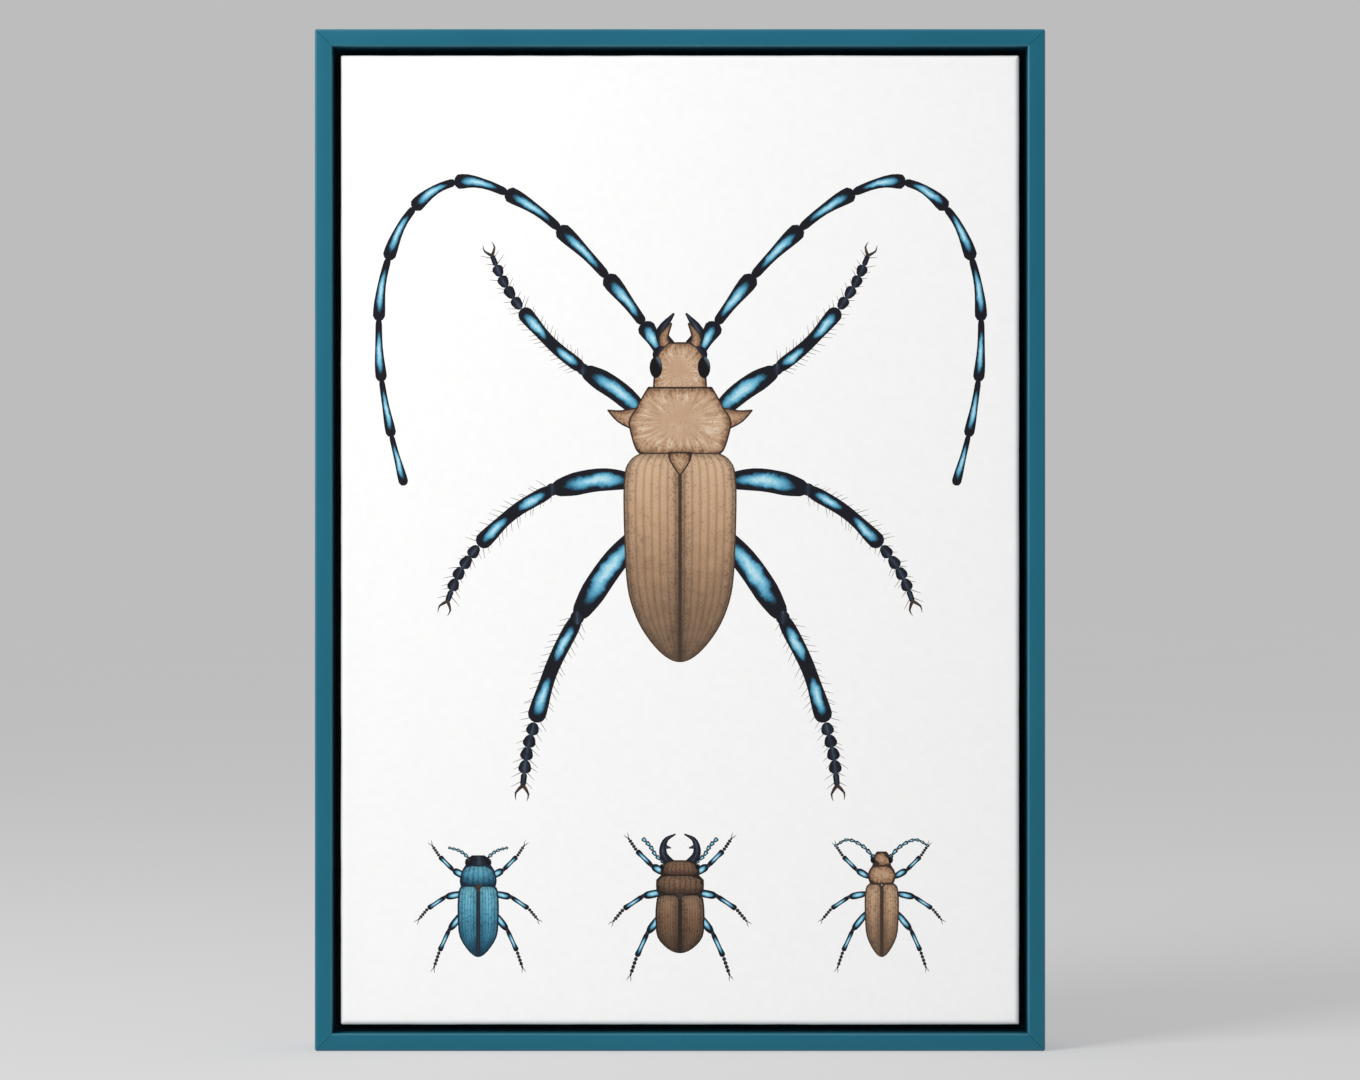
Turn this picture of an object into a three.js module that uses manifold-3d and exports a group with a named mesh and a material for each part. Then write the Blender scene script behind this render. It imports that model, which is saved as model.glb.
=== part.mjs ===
// A stretched canvas print in a floater frame, upright, for hanging on a wall.
//
// Millimetres, +Z up. The wall is the plane y = 0, and the picture faces -Y.
// The origin is the hanger's middle notch, in the plane of the wall.
//
// A wooden L-section frame holds a canvas stretched over pine bars. The canvas stands free of the
// frame's wall all round, and screws through the frame's ledge hold the bars from behind.

import * as THREE from "three";
import { mergeVertices } from "three/addons/utils/BufferGeometryUtils.js";
import Module from "manifold-3d";

// Canvas and float gap, seen from the front
const CANVAS_WIDTH = 350;
const CANVAS_HEIGHT = 500;
const CANVAS_THICKNESS = 0.6;
const CANVAS_EDGE_RADIUS = 2.4;
const CANVAS_FLAP = 32;
const CANVAS_BELOW_FRAME_FRONT = 3;
const FLOAT_GAP = 4;

// Frame moulding
const FRAME_FACE = 9;
const LEDGE_REACH = 31;
const LEDGE_THICKNESS = 6;
const OUTER_EDGE_RADIUS = 1.2;
const INNER_EDGE_RADIUS = 1;
const BACK_CHAMFER = 0.5;

// Stretcher bars
const BAR_WIDTH = 38;
const BAR_THICKNESS = 20;
const BAR_FACE_FALL = 2.5;

// Pieces that touch keep this much between them, and so do the two faces of each mitre
const GAP = 0.3;

// Screws through the ledge into the bars
const SCREW_INSET = 22;
const SIDE_SCREW_SPACING = 260;
const SCREW_HEAD_RADIUS = 3.6;
const SCREW_SHANK_RADIUS = 1.75;
const SCREW_HEAD_HEIGHT = 2.2;
const SCREW_POINT = 3.5;
const SCREW_TIP_RADIUS = 0.5;
const SCREW_TIP_HEIGHT = 0.35;
const SCREW_LENGTH = 18;

// Toothed hanger and its two nails
const HANGER_LENGTH = 45;
const HANGER_HEIGHT = 10;
const HANGER_SHEET = 1;
const HANGER_RISE = 1.7;
const HANGER_FOOT = 7;
const HANGER_SLOPE = 2;
const HANGER_TOP_INSET = 1.5;
const TOOTH_COUNT = 11;
const TOOTH_PITCH = 2.4;
const TOOTH_DEPTH = 1.8;
const TOOTH_TIP = 0.1;
const NAIL_HEAD_RADIUS = 1.7;
const NAIL_HEAD_HEIGHT = 0.9;
const NAIL_HEAD_RIM = 0.45;
const NAIL_CROWN_RADIUS = 1;
const NAIL_SHANK_RADIUS = 0.7;
const NAIL_LENGTH = 12;
const NAIL_BELOW_HANGER_TOP = 4;

// Wall bumpers
const BUMPER_RADIUS = 5;
const BUMPER_FACE_RADIUS = 3.8;
const BUMPER_THICKNESS = 3;
const BUMPER_FROM_CORNER = 44;
const BUMPER_INSET = 14;

// How finely arcs and rounds are cut, and how far a cutter runs past the face it opens
const ARC_SEGMENTS = 4;
const ROUND_SEGMENTS = 24;
const CUT_PAST = 1;

// Depths in front of the wall, from the back to the front
const FRAME_BACK = BUMPER_THICKNESS + GAP;
const LEDGE_FRONT = FRAME_BACK + LEDGE_THICKNESS;
const CANVAS_BACK = LEDGE_FRONT + GAP;
const BAR_BACK = CANVAS_BACK + CANVAS_THICKNESS + GAP;
const BAR_FRONT = BAR_BACK + BAR_THICKNESS;
const CANVAS_FRONT = BAR_FRONT + GAP + CANVAS_THICKNESS;
const FRAME_FRONT = CANVAS_FRONT + CANVAS_BELOW_FRAME_FRONT;

// Sizes that follow from the driving dimensions
const FRAME_WIDTH = CANVAS_WIDTH + 2 * (FLOAT_GAP + FRAME_FACE);
const FRAME_HEIGHT = CANVAS_HEIGHT + 2 * (FLOAT_GAP + FRAME_FACE);
const BAR_MARGIN = CANVAS_THICKNESS + GAP;
const BAR_EDGE_RADIUS = CANVAS_EDGE_RADIUS - BAR_MARGIN;
const SCREW_HOLE_RADIUS = SCREW_SHANK_RADIUS + GAP;
const NAIL_HOLE_RADIUS = NAIL_SHANK_RADIUS + GAP;
const NOTCH_INSET = HANGER_TOP_INSET + HANGER_HEIGHT - TOOTH_DEPTH;
const NAIL_INSET = HANGER_TOP_INSET + NAIL_BELOW_HANGER_TOP;
const NAIL_HALF_SPACING = (HANGER_LENGTH - HANGER_FOOT) / 2;

// Each side of the picture: its turn about Y, the length along it, the reach out to it from the
// centre, and where its screws are. Every side is modelled as the top one is, then turned.
const SIDES = {
  top: { turn: 0, across: CANVAS_WIDTH, reach: CANVAS_HEIGHT / 2, screws: [0] },
  right: {
    turn: Math.PI / 2,
    across: CANVAS_HEIGHT,
    reach: CANVAS_WIDTH / 2,
    screws: [-SIDE_SCREW_SPACING / 2, SIDE_SCREW_SPACING / 2],
  },
  bottom: { turn: Math.PI, across: CANVAS_WIDTH, reach: CANVAS_HEIGHT / 2, screws: [0] },
  left: {
    turn: -Math.PI / 2,
    across: CANVAS_HEIGHT,
    reach: CANVAS_WIDTH / 2,
    screws: [-SIDE_SCREW_SPACING / 2, SIDE_SCREW_SPACING / 2],
  },
};

const MATERIALS = {
  lacquer: new THREE.MeshStandardMaterial({ color: 0x1e6b81, roughness: 0.42, metalness: 0 }),
  pine: new THREE.MeshStandardMaterial({ color: 0xd9b98a, roughness: 0.7, metalness: 0 }),
  canvas: new THREE.MeshStandardMaterial({ color: 0xf6f5f2, roughness: 0.9, metalness: 0 }),
  steel: new THREE.MeshStandardMaterial({ color: 0xb4b3ad, roughness: 0.35, metalness: 1 }),
  rubber: new THREE.MeshStandardMaterial({ color: 0x2b2b2d, roughness: 0.8, metalness: 0 }),
};

const wasm = await Module();
wasm.setup();

function toSolid(geometry) {
  const bare = geometry.clone();
  bare.deleteAttribute("normal");
  bare.deleteAttribute("uv");
  const merged = mergeVertices(bare);
  return new wasm.Manifold(
    new wasm.Mesh({
      numProp: 3,
      vertProperties: Float32Array.from(merged.attributes.position.array),
      triVerts: Uint32Array.from(merged.index.array),
    }),
  );
}

function toGeometry(solid) {
  const mesh = solid.getMesh();
  const geometry = new THREE.BufferGeometry();
  geometry.setAttribute("position", new THREE.BufferAttribute(mesh.vertProperties, 3));
  geometry.setIndex(new THREE.BufferAttribute(mesh.triVerts, 1));
  geometry.computeVertexNormals();
  return geometry;
}

function cutAway(geometry, cutters) {
  let solid = toSolid(geometry);
  for (const cutter of cutters) {
    solid = solid.subtract(toSolid(cutter));
  }
  return toGeometry(solid);
}

function namedMesh(name, geometry, material) {
  const mesh = new THREE.Mesh(geometry, material);
  mesh.name = name;
  return mesh;
}

// A round piece on an axis along Y, from points of [radius, y] with both ends on the axis.
function turned(points) {
  const profile = points.map(([radius, y]) => new THREE.Vector2(radius, y));
  return new THREE.LatheGeometry(profile, ROUND_SEGMENTS);
}

// A round hole into the back of a bar or rail, from the wall side forwards.
function drill(radius, fromDepth, toDepth) {
  return turned([
    [0, -toDepth],
    [radius, -toDepth],
    [radius, -fromDepth],
    [0, -fromDepth],
  ]);
}

// A straight length of moulding with mitred ends, drawn as the picture's top side. The section
// is drawn with x as the inset from the outer face and y as the depth in front of the wall.
function mitredLength(section, outerLength) {
  const geometry = new THREE.ExtrudeGeometry(section, {
    depth: 1,
    bevelEnabled: false,
    curveSegments: ARC_SEGMENTS,
  });
  const position = geometry.attributes.position;
  const mitreShortening = GAP * Math.SQRT1_2;
  for (let i = 0; i < position.count; i += 1) {
    const inset = position.getX(i);
    const depth = position.getY(i);
    const end = position.getZ(i) > 0.5 ? -1 : 1;
    position.setXYZ(i, end * (outerLength / 2 - inset - mitreShortening), -depth, -inset);
  }
  return geometry;
}

function railSection() {
  const wallTop = FRAME_FRONT - INNER_EDGE_RADIUS;
  const outerTop = FRAME_FRONT - OUTER_EDGE_RADIUS;
  const section = new THREE.Shape();
  section.moveTo(BACK_CHAMFER, FRAME_BACK);
  section.lineTo(LEDGE_REACH - BACK_CHAMFER, FRAME_BACK);
  section.lineTo(LEDGE_REACH, FRAME_BACK + BACK_CHAMFER);
  section.lineTo(LEDGE_REACH, LEDGE_FRONT);
  section.lineTo(FRAME_FACE, LEDGE_FRONT);
  section.lineTo(FRAME_FACE, wallTop);
  section.absarc(FRAME_FACE - INNER_EDGE_RADIUS, wallTop, INNER_EDGE_RADIUS, 0, Math.PI / 2, false);
  section.lineTo(OUTER_EDGE_RADIUS, FRAME_FRONT);
  section.absarc(OUTER_EDGE_RADIUS, outerTop, OUTER_EDGE_RADIUS, Math.PI / 2, Math.PI, false);
  section.lineTo(0, FRAME_BACK + BACK_CHAMFER);
  section.closePath();
  return section;
}

// The bar's front face falls away inwards, so the canvas touches only the bead at its outer edge.
function barSection() {
  const radius = BAR_EDGE_RADIUS;
  const section = new THREE.Shape();
  section.moveTo(radius, BAR_BACK);
  section.lineTo(BAR_WIDTH - BACK_CHAMFER, BAR_BACK);
  section.lineTo(BAR_WIDTH, BAR_BACK + BACK_CHAMFER);
  section.lineTo(BAR_WIDTH, BAR_FRONT - BAR_FACE_FALL);
  section.lineTo(radius, BAR_FRONT);
  section.absarc(radius, BAR_FRONT - radius, radius, Math.PI / 2, Math.PI, false);
  section.lineTo(0, BAR_BACK + radius);
  section.absarc(radius, BAR_BACK + radius, radius, Math.PI, 1.5 * Math.PI, false);
  section.closePath();
  return section;
}

function frameRail(side, withHanger) {
  const rail = mitredLength(railSection(), side.across + 2 * (FLOAT_GAP + FRAME_FACE));
  const cutters = [];
  for (const along of side.screws) {
    cutters.push(countersunkHole().translate(along, 0, -SCREW_INSET));
  }
  if (withHanger) {
    for (const along of [-NAIL_HALF_SPACING, NAIL_HALF_SPACING]) {
      const hole = drill(NAIL_HOLE_RADIUS, FRAME_BACK - CUT_PAST, FRAME_BACK + NAIL_LENGTH);
      cutters.push(hole.translate(along, 0, -NAIL_INSET));
    }
  }
  return cutAway(rail, cutters);
}

function countersunkHole() {
  const mouth = SCREW_HEAD_RADIUS + GAP;
  const headFloor = FRAME_BACK + GAP + SCREW_HEAD_HEIGHT + GAP;
  return turned([
    [0, -LEDGE_FRONT - CUT_PAST],
    [SCREW_HOLE_RADIUS, -LEDGE_FRONT - CUT_PAST],
    [SCREW_HOLE_RADIUS, -headFloor],
    [mouth, -FRAME_BACK - GAP],
    [mouth, -FRAME_BACK + CUT_PAST],
    [0, -FRAME_BACK + CUT_PAST],
  ]);
}

function screw() {
  const headBack = -FRAME_BACK - GAP;
  const tip = headBack - SCREW_LENGTH;
  return turned([
    [0, tip],
    [SCREW_TIP_RADIUS, tip + SCREW_TIP_HEIGHT],
    [SCREW_SHANK_RADIUS, tip + SCREW_POINT],
    [SCREW_SHANK_RADIUS, headBack - SCREW_HEAD_HEIGHT],
    [SCREW_HEAD_RADIUS, headBack - GAP],
    [SCREW_HEAD_RADIUS, headBack],
    [0, headBack],
  ]);
}

function stretcherBar(side) {
  const bar = mitredLength(barSection(), side.across - 2 * BAR_MARGIN);
  const barReach = side.reach - BAR_MARGIN;
  const screwReach = side.reach + FLOAT_GAP + FRAME_FACE - SCREW_INSET;
  const holeEnd = FRAME_BACK + GAP + SCREW_LENGTH + GAP;
  const cutters = side.screws.map((along) =>
    drill(SCREW_HOLE_RADIUS, BAR_BACK - CUT_PAST, holeEnd).translate(along, 0, screwReach - barReach),
  );
  return cutAway(bar, cutters);
}

// A block the size of the canvas, brought in by a margin on every side, with rounded edges.
function canvasBlock(margin) {
  const radius = CANVAS_EDGE_RADIUS - margin;
  const halfWidth = CANVAS_WIDTH / 2 - CANVAS_EDGE_RADIUS;
  const halfHeight = CANVAS_HEIGHT / 2 - CANVAS_EDGE_RADIUS;
  const outline = new THREE.Shape();
  outline.moveTo(-halfWidth, -halfHeight);
  outline.lineTo(halfWidth, -halfHeight);
  outline.lineTo(halfWidth, halfHeight);
  outline.lineTo(-halfWidth, halfHeight);
  outline.closePath();
  const block = new THREE.ExtrudeGeometry(outline, {
    depth: CANVAS_FRONT - CANVAS_BACK - 2 * CANVAS_EDGE_RADIUS,
    bevelSize: radius,
    bevelThickness: radius,
    bevelSegments: 2 * ARC_SEGMENTS,
  });
  return block.rotateX(Math.PI / 2).translate(0, -CANVAS_BACK - CANVAS_EDGE_RADIUS, 0);
}

// One sheet wrapped over the front and sides of the bars and turned in behind them.
function canvas() {
  const flapCut = CANVAS_THICKNESS + 2 * GAP;
  const backOpening = new THREE.BoxGeometry(
    CANVAS_WIDTH - 2 * CANVAS_FLAP,
    flapCut,
    CANVAS_HEIGHT - 2 * CANVAS_FLAP,
  ).translate(0, -CANVAS_BACK - CANVAS_THICKNESS / 2, 0);
  const cutters = [canvasBlock(CANVAS_THICKNESS), backOpening];
  for (const side of Object.values(SIDES)) {
    const screwReach = side.reach + FLOAT_GAP + FRAME_FACE - SCREW_INSET;
    for (const along of side.screws) {
      const hole = drill(SCREW_HOLE_RADIUS, CANVAS_BACK - GAP, BAR_BACK);
      cutters.push(hole.translate(along, 0, screwReach).rotateY(side.turn));
    }
  }
  return cutAway(canvasBlock(0), cutters);
}

// A steel strip with flat feet, a raised middle, and teeth cut up into the middle's lower edge.
function sawtoothHanger() {
  const half = HANGER_LENGTH / 2;
  const slopeStart = half - HANGER_FOOT;
  const slopeEnd = slopeStart - HANGER_SLOPE;
  const footBack = -FRAME_BACK + GAP;
  const midBack = footBack + HANGER_RISE;
  const backLine = [
    [-half, footBack],
    [-slopeStart, footBack],
    [-slopeEnd, midBack],
    [slopeEnd, midBack],
    [slopeStart, footBack],
    [half, footBack],
  ];
  const wallLine = backLine.map(([x, y]) => [x, y + HANGER_SHEET]).reverse();
  const strip = new THREE.Shape([...backLine, ...wallLine].map(([x, y]) => new THREE.Vector2(x, y)));
  const body = new THREE.ExtrudeGeometry(strip, { depth: HANGER_HEIGHT, bevelEnabled: false });
  body.translate(0, 0, -HANGER_HEIGHT);

  const cutters = [];
  for (const x of [-NAIL_HALF_SPACING, NAIL_HALF_SPACING]) {
    const hole = drill(NAIL_HOLE_RADIUS, 0, FRAME_BACK);
    cutters.push(hole.translate(x, 0, -NAIL_BELOW_HANGER_TOP));
  }
  for (let i = 0; i < TOOTH_COUNT; i += 1) {
    const x = (i - (TOOTH_COUNT - 1) / 2) * TOOTH_PITCH;
    cutters.push(notchCutter().translate(x, 0, -HANGER_HEIGHT));
  }
  return cutAway(body, cutters);
}

// A notch drawn upwards from the strip's lower edge, just narrower than the pitch of the teeth.
function notchCutter() {
  const halfMouth = (TOOTH_PITCH - TOOTH_TIP) / 2;
  const below = TOOTH_DEPTH;
  const notch = new THREE.Shape();
  notch.moveTo(-halfMouth, -below);
  notch.lineTo(halfMouth, -below);
  notch.lineTo(halfMouth, 0);
  notch.lineTo(0, TOOTH_DEPTH);
  notch.lineTo(-halfMouth, 0);
  notch.closePath();
  const cutter = new THREE.ExtrudeGeometry(notch, { depth: FRAME_BACK, bevelEnabled: false });
  return cutter.rotateX(Math.PI / 2);
}

function hangerNail() {
  const headFront = -FRAME_BACK + GAP + HANGER_SHEET + GAP;
  const tip = headFront - NAIL_LENGTH;
  return turned([
    [0, tip],
    [NAIL_SHANK_RADIUS, tip + 2 * NAIL_SHANK_RADIUS],
    [NAIL_SHANK_RADIUS, headFront],
    [NAIL_HEAD_RADIUS, headFront],
    [NAIL_HEAD_RADIUS, headFront + NAIL_HEAD_RIM],
    [NAIL_CROWN_RADIUS, headFront + NAIL_HEAD_HEIGHT],
    [0, headFront + NAIL_HEAD_HEIGHT],
  ]);
}

function wallBumper() {
  const shoulder = BUMPER_RADIUS - BUMPER_FACE_RADIUS;
  const midArc = shoulder * (1 - Math.SQRT1_2);
  return turned([
    [0, -BUMPER_THICKNESS],
    [BUMPER_RADIUS, -BUMPER_THICKNESS],
    [BUMPER_RADIUS, -shoulder],
    [BUMPER_RADIUS - midArc, -midArc],
    [BUMPER_FACE_RADIUS, 0],
    [0, 0],
  ]);
}

function sideGroup(name, side) {
  const group = new THREE.Group();
  const rail = namedMesh(`frame_rail_${name}`, frameRail(side, name === "top"), MATERIALS.lacquer);
  rail.position.z = side.reach + FLOAT_GAP + FRAME_FACE;
  const bar = namedMesh(`stretcher_bar_${name}`, stretcherBar(side), MATERIALS.pine);
  bar.position.z = side.reach - BAR_MARGIN;
  group.add(rail, bar);
  side.screws.forEach((along, index) => {
    const number = side.screws.length > 1 ? `_${index + 1}` : "";
    const piece = namedMesh(`frame_screw_${name}${number}`, screw(), MATERIALS.steel);
    piece.position.set(along, 0, rail.position.z - SCREW_INSET);
    group.add(piece);
  });
  group.rotation.y = side.turn;
  return group;
}

function hangerGroup() {
  const group = new THREE.Group();
  group.add(namedMesh("sawtooth_hanger", sawtoothHanger(), MATERIALS.steel));
  for (const [place, direction] of [["left", -1], ["right", 1]]) {
    const nail = namedMesh(`hanger_nail_${place}`, hangerNail(), MATERIALS.steel);
    nail.position.set(direction * NAIL_HALF_SPACING, 0, -NAIL_BELOW_HANGER_TOP);
    group.add(nail);
  }
  group.position.z = FRAME_HEIGHT / 2 - HANGER_TOP_INSET;
  return group;
}

function bumpers() {
  const group = new THREE.Group();
  for (const [place, direction] of [["left", -1], ["right", 1]]) {
    const bumper = namedMesh(`wall_bumper_${place}`, wallBumper(), MATERIALS.rubber);
    bumper.position.x = direction * (FRAME_WIDTH / 2 - BUMPER_FROM_CORNER);
    group.add(bumper);
  }
  group.position.z = -FRAME_HEIGHT / 2 + BUMPER_INSET;
  return group;
}

const picture = new THREE.Group();
for (const [name, side] of Object.entries(SIDES)) {
  picture.add(sideGroup(name, side));
}
picture.add(namedMesh("canvas", canvas(), MATERIALS.canvas));
picture.add(hangerGroup());
picture.add(bumpers());
picture.position.z = NOTCH_INSET - FRAME_HEIGHT / 2;

export default picture;
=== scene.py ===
"""The looks of a stretched canvas print in a teal floater frame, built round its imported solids.

Metres, +Z up. The wall is the plane y = 0 and the picture faces -Y. The printed plate shows four
beetles. Its inks are cut into the canvas's own front face, in millimetres from the canvas's middle.
"""

import math
import random

import bmesh
import bpy
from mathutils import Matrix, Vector, noise
from mathutils.geometry import delaunay_2d_cdt


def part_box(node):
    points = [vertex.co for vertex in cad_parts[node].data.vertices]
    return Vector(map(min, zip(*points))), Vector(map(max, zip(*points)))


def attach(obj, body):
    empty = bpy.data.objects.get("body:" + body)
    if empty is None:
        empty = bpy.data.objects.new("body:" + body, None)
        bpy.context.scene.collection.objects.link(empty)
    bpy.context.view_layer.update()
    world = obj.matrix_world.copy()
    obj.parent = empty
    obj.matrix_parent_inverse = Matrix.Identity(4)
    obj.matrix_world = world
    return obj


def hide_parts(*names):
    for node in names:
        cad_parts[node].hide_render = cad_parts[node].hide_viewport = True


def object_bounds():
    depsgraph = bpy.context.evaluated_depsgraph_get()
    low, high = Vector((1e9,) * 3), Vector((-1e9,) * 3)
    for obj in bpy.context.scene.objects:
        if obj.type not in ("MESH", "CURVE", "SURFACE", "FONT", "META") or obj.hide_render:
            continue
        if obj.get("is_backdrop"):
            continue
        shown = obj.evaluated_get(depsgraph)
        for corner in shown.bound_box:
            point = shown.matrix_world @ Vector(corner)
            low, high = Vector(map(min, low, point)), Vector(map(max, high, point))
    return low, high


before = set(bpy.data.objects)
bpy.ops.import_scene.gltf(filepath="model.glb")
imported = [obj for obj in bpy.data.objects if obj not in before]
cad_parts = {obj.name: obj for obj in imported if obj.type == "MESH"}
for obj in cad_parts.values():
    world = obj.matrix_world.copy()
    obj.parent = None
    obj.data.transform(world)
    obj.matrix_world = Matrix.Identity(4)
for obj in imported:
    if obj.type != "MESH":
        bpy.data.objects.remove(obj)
cad_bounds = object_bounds()

MM = 0.001
BODY = "root"
SIDES = ("top", "right", "bottom", "left")
LEVEL_SIDES = ("top", "bottom")

# ---------------------------------------------------------------- sizes, most read from the solids

canvas_low, canvas_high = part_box("canvas")
frame_low, frame_high = cad_bounds[0], cad_bounds[1]

MIDDLE = Vector((0, 0, (canvas_low.z + canvas_high.z) / 2))
CANVAS_HALF_WIDTH = (canvas_high.x - canvas_low.x) / 2 / MM
CANVAS_HALF_HEIGHT = (canvas_high.z - canvas_low.z) / 2 / MM
CANVAS_FRONT = canvas_low.y / MM
CANVAS_BACK = canvas_high.y / MM
FRAME_FRONT = frame_low.y / MM
FRAME_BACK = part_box("frame_rail_top")[1].y / MM
FRAME_HALF_WIDTH = (frame_high.x - frame_low.x) / 2 / MM
FRAME_HALF_HEIGHT = (frame_high.z - frame_low.z) / 2 / MM
FRAME_FACE = 9.0
CANVAS_SHEET = 0.6
CANVAS_EDGE_RADIUS = 2.4
CANVAS_FLAP = 32.0


# ---------------------------------------------------------------- colours and nodes

def srgb(red, green, blue):
    """A linear colour, with alpha, from display values of 0 to 255."""
    def linear(value):
        share = value / 255
        return share / 12.92 if share <= 0.04045 else ((share + 0.055) / 1.055) ** 2.4
    return (linear(red), linear(green), linear(blue), 1.0)


def arithmetic(operation, swapped=False):
    """A method of Value that adds one Math node."""
    def method(self, *others):
        values = (*others, self) if swapped else (self, *others)
        return self.nodes.math(operation, *values)
    return method


class Value:
    """What a node gives. Arithmetic on it adds Math nodes to its own tree."""

    def __init__(self, nodes, socket):
        self.nodes = nodes
        self.socket = socket

    __add__ = arithmetic("ADD")
    __radd__ = arithmetic("ADD", swapped=True)
    __sub__ = arithmetic("SUBTRACT")
    __rsub__ = arithmetic("SUBTRACT", swapped=True)
    __mul__ = arithmetic("MULTIPLY")
    __truediv__ = arithmetic("DIVIDE")
    __pow__ = arithmetic("POWER")
    __abs__ = arithmetic("ABSOLUTE")
    larger = arithmetic("MAXIMUM")
    above = arithmetic("GREATER_THAN")
    sign = arithmetic("SIGN")
    root = arithmetic("SQRT")
    fraction = arithmetic("FRACT")
    sine = arithmetic("SINE")
    cosine = arithmetic("COSINE")
    angle_from = arithmetic("ARCTAN2")

    def __neg__(self):
        return self * -1.0

    def also(self, output):
        """Another output of the same node."""
        return Value(self.nodes, self.socket.node.outputs[output])


class Nodes:
    """A tree of nodes that is built one call at a time."""

    def __init__(self, tree):
        self.tree = tree

    def feed(self, socket, value):
        if isinstance(value, Value):
            self.tree.links.new(value.socket, socket)
        else:
            socket.default_value = value

    def add(self, kind, feeds=None, gives=0, **settings):
        """A new node, with what goes into its sockets. A list goes into one socket together."""
        node = self.tree.nodes.new(kind)
        for key, value in settings.items():
            setattr(node, key, value)
        for key, value in (feeds or {}).items():
            for one in value if isinstance(value, list) else [value]:
                self.feed(node.inputs[key], one)
        return Value(self, node.outputs[gives])

    def math(self, operation, *values):
        return self.add("ShaderNodeMath", dict(enumerate(values)), operation=operation)

    def vector(self, x=0.0, y=0.0, z=0.0):
        return self.add("ShaderNodeCombineXYZ", {"X": x, "Y": y, "Z": z})


class Finish(Nodes):
    """A material, which reads the piece's own coordinates."""

    def __init__(self, name, roughness=0.5, specular=0.5):
        self.material = bpy.data.materials.new(name)
        self.material.use_nodes = True
        super().__init__(self.material.node_tree)
        self.shader = self.tree.nodes["Principled BSDF"]
        self.set("Roughness", roughness)
        self.set("Specular IOR Level", specular)
        self.place = self.add("ShaderNodeTexCoord", gives="Object")

    def set(self, name, value):
        self.feed(self.shader.inputs[name], value)

    def step(self, value, low, high, to_low=0.0, to_high=1.0):
        """A smooth step from to_low at low to to_high at high."""
        numbers = dict(enumerate((value, low, high, to_low, to_high)))
        return self.add("ShaderNodeMapRange", numbers, interpolation_type="SMOOTHSTEP")

    def mix(self, share, first, second, blend="MIX"):
        colours = {0: share, 6: first, 7: second}
        return self.add("ShaderNodeMix", colours, gives=2, data_type="RGBA", blend_type=blend)

    def ramp(self, value, stops):
        """A colour between stops of (position, colour)."""
        found = self.add("ShaderNodeValToRGB", {0: value})
        elements = found.socket.node.color_ramp.elements
        while len(elements) < len(stops):
            elements.new(0.5)
        for element, (position, colour) in zip(elements, stops):
            element.position = position
            element.color = colour
        return found

    def mapped(self, at=None, **feeds):
        """Coordinates moved by Location or stretched by Scale."""
        return self.add("ShaderNodeMapping", {"Vector": at or self.place, **feeds})

    def noise(self, scale, detail=2.0, roughness=0.5, at=None):
        feeds = {"Vector": at or self.place, "Scale": scale, "Detail": detail, "Roughness": roughness}
        return self.add("ShaderNodeTexNoise", feeds, gives="Fac")

    def parts(self, vector):
        split = self.add("ShaderNodeSeparateXYZ", {0: vector})
        return [split.also(axis) for axis in ("X", "Y", "Z")]

    def relief(self, height, strength, depth):
        feeds = {"Height": height, "Strength": strength, "Distance": depth}
        self.set("Normal", self.add("ShaderNodeBump", feeds))

    def coloured(self, colour):
        """The finished material."""
        self.set("Base Color", colour)
        return self.material


# ---------------------------------------------------------------- frame and bar finishes

# Where the heart of the growth rings lies for each stick, in millimetres
BAR_HEARTS = {"top": (0, 46, 23), "right": (218, 12, 0), "bottom": (0, -58, -548), "left": (-137, 34, 0)}
RAIL_HEARTS = {"top": (0, 22, 61), "right": (139, 31, 0), "bottom": (0, 39, -471), "left": (-239, 17, 0)}
BAR_RING = 2.7 * MM
RAIL_RING = 2.3 * MM


def grain_scale(side, along, across=1.0):
    """A pattern's scale on each axis, with its own one along a side's length."""
    return (along, across, across) if side in LEVEL_SIDES else (across, across, along)


def wood_colour(finish, side, heart, pale, dark, ring):
    """Straight-grained softwood. Its growth rings run round a heart that lies beside the stick."""
    from_heart = finish.mapped(Location=tuple(-value * MM for value in heart))
    x, y, z = finish.parts(from_heart)
    waver = finish.noise(1.0, at=finish.mapped(from_heart, Scale=grain_scale(side, 2, 9)))
    across = (z if side in LEVEL_SIDES else x) + (waver - 0.5) * (22 * MM)
    radius = (across * across + y * y).root()
    spread = finish.noise(70.0, 1.0, at=finish.vector(radius))
    year = (radius / ring + spread * 5.0).fraction()
    late = finish.step(year, 0.2, 0.8) * finish.step(year, 0.84, 1.0, 1.0, 0.0)
    fibre = finish.noise(1400.0, 3.0, 0.6, at=finish.mapped(Scale=grain_scale(side, 0.02)))
    patch = finish.noise(22.0, at=finish.mapped(Scale=grain_scale(side, 0.3)))
    grain = late * 0.36 + fibre * 0.46 + patch * 0.3
    return finish.ramp(grain, [(0.3, pale), (0.92, dark)]), fibre + late * 0.12


def pine_finish(side):
    finish = Finish("Planed pine bar, " + side, roughness=0.68, specular=0.3)
    pale, dark = srgb(233, 206, 163), srgb(184, 137, 88)
    colour, grain = wood_colour(finish, side, BAR_HEARTS[side], pale, dark, BAR_RING)
    finish.relief(grain, 0.25, 0.2 * MM)
    return finish.coloured(colour)


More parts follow.
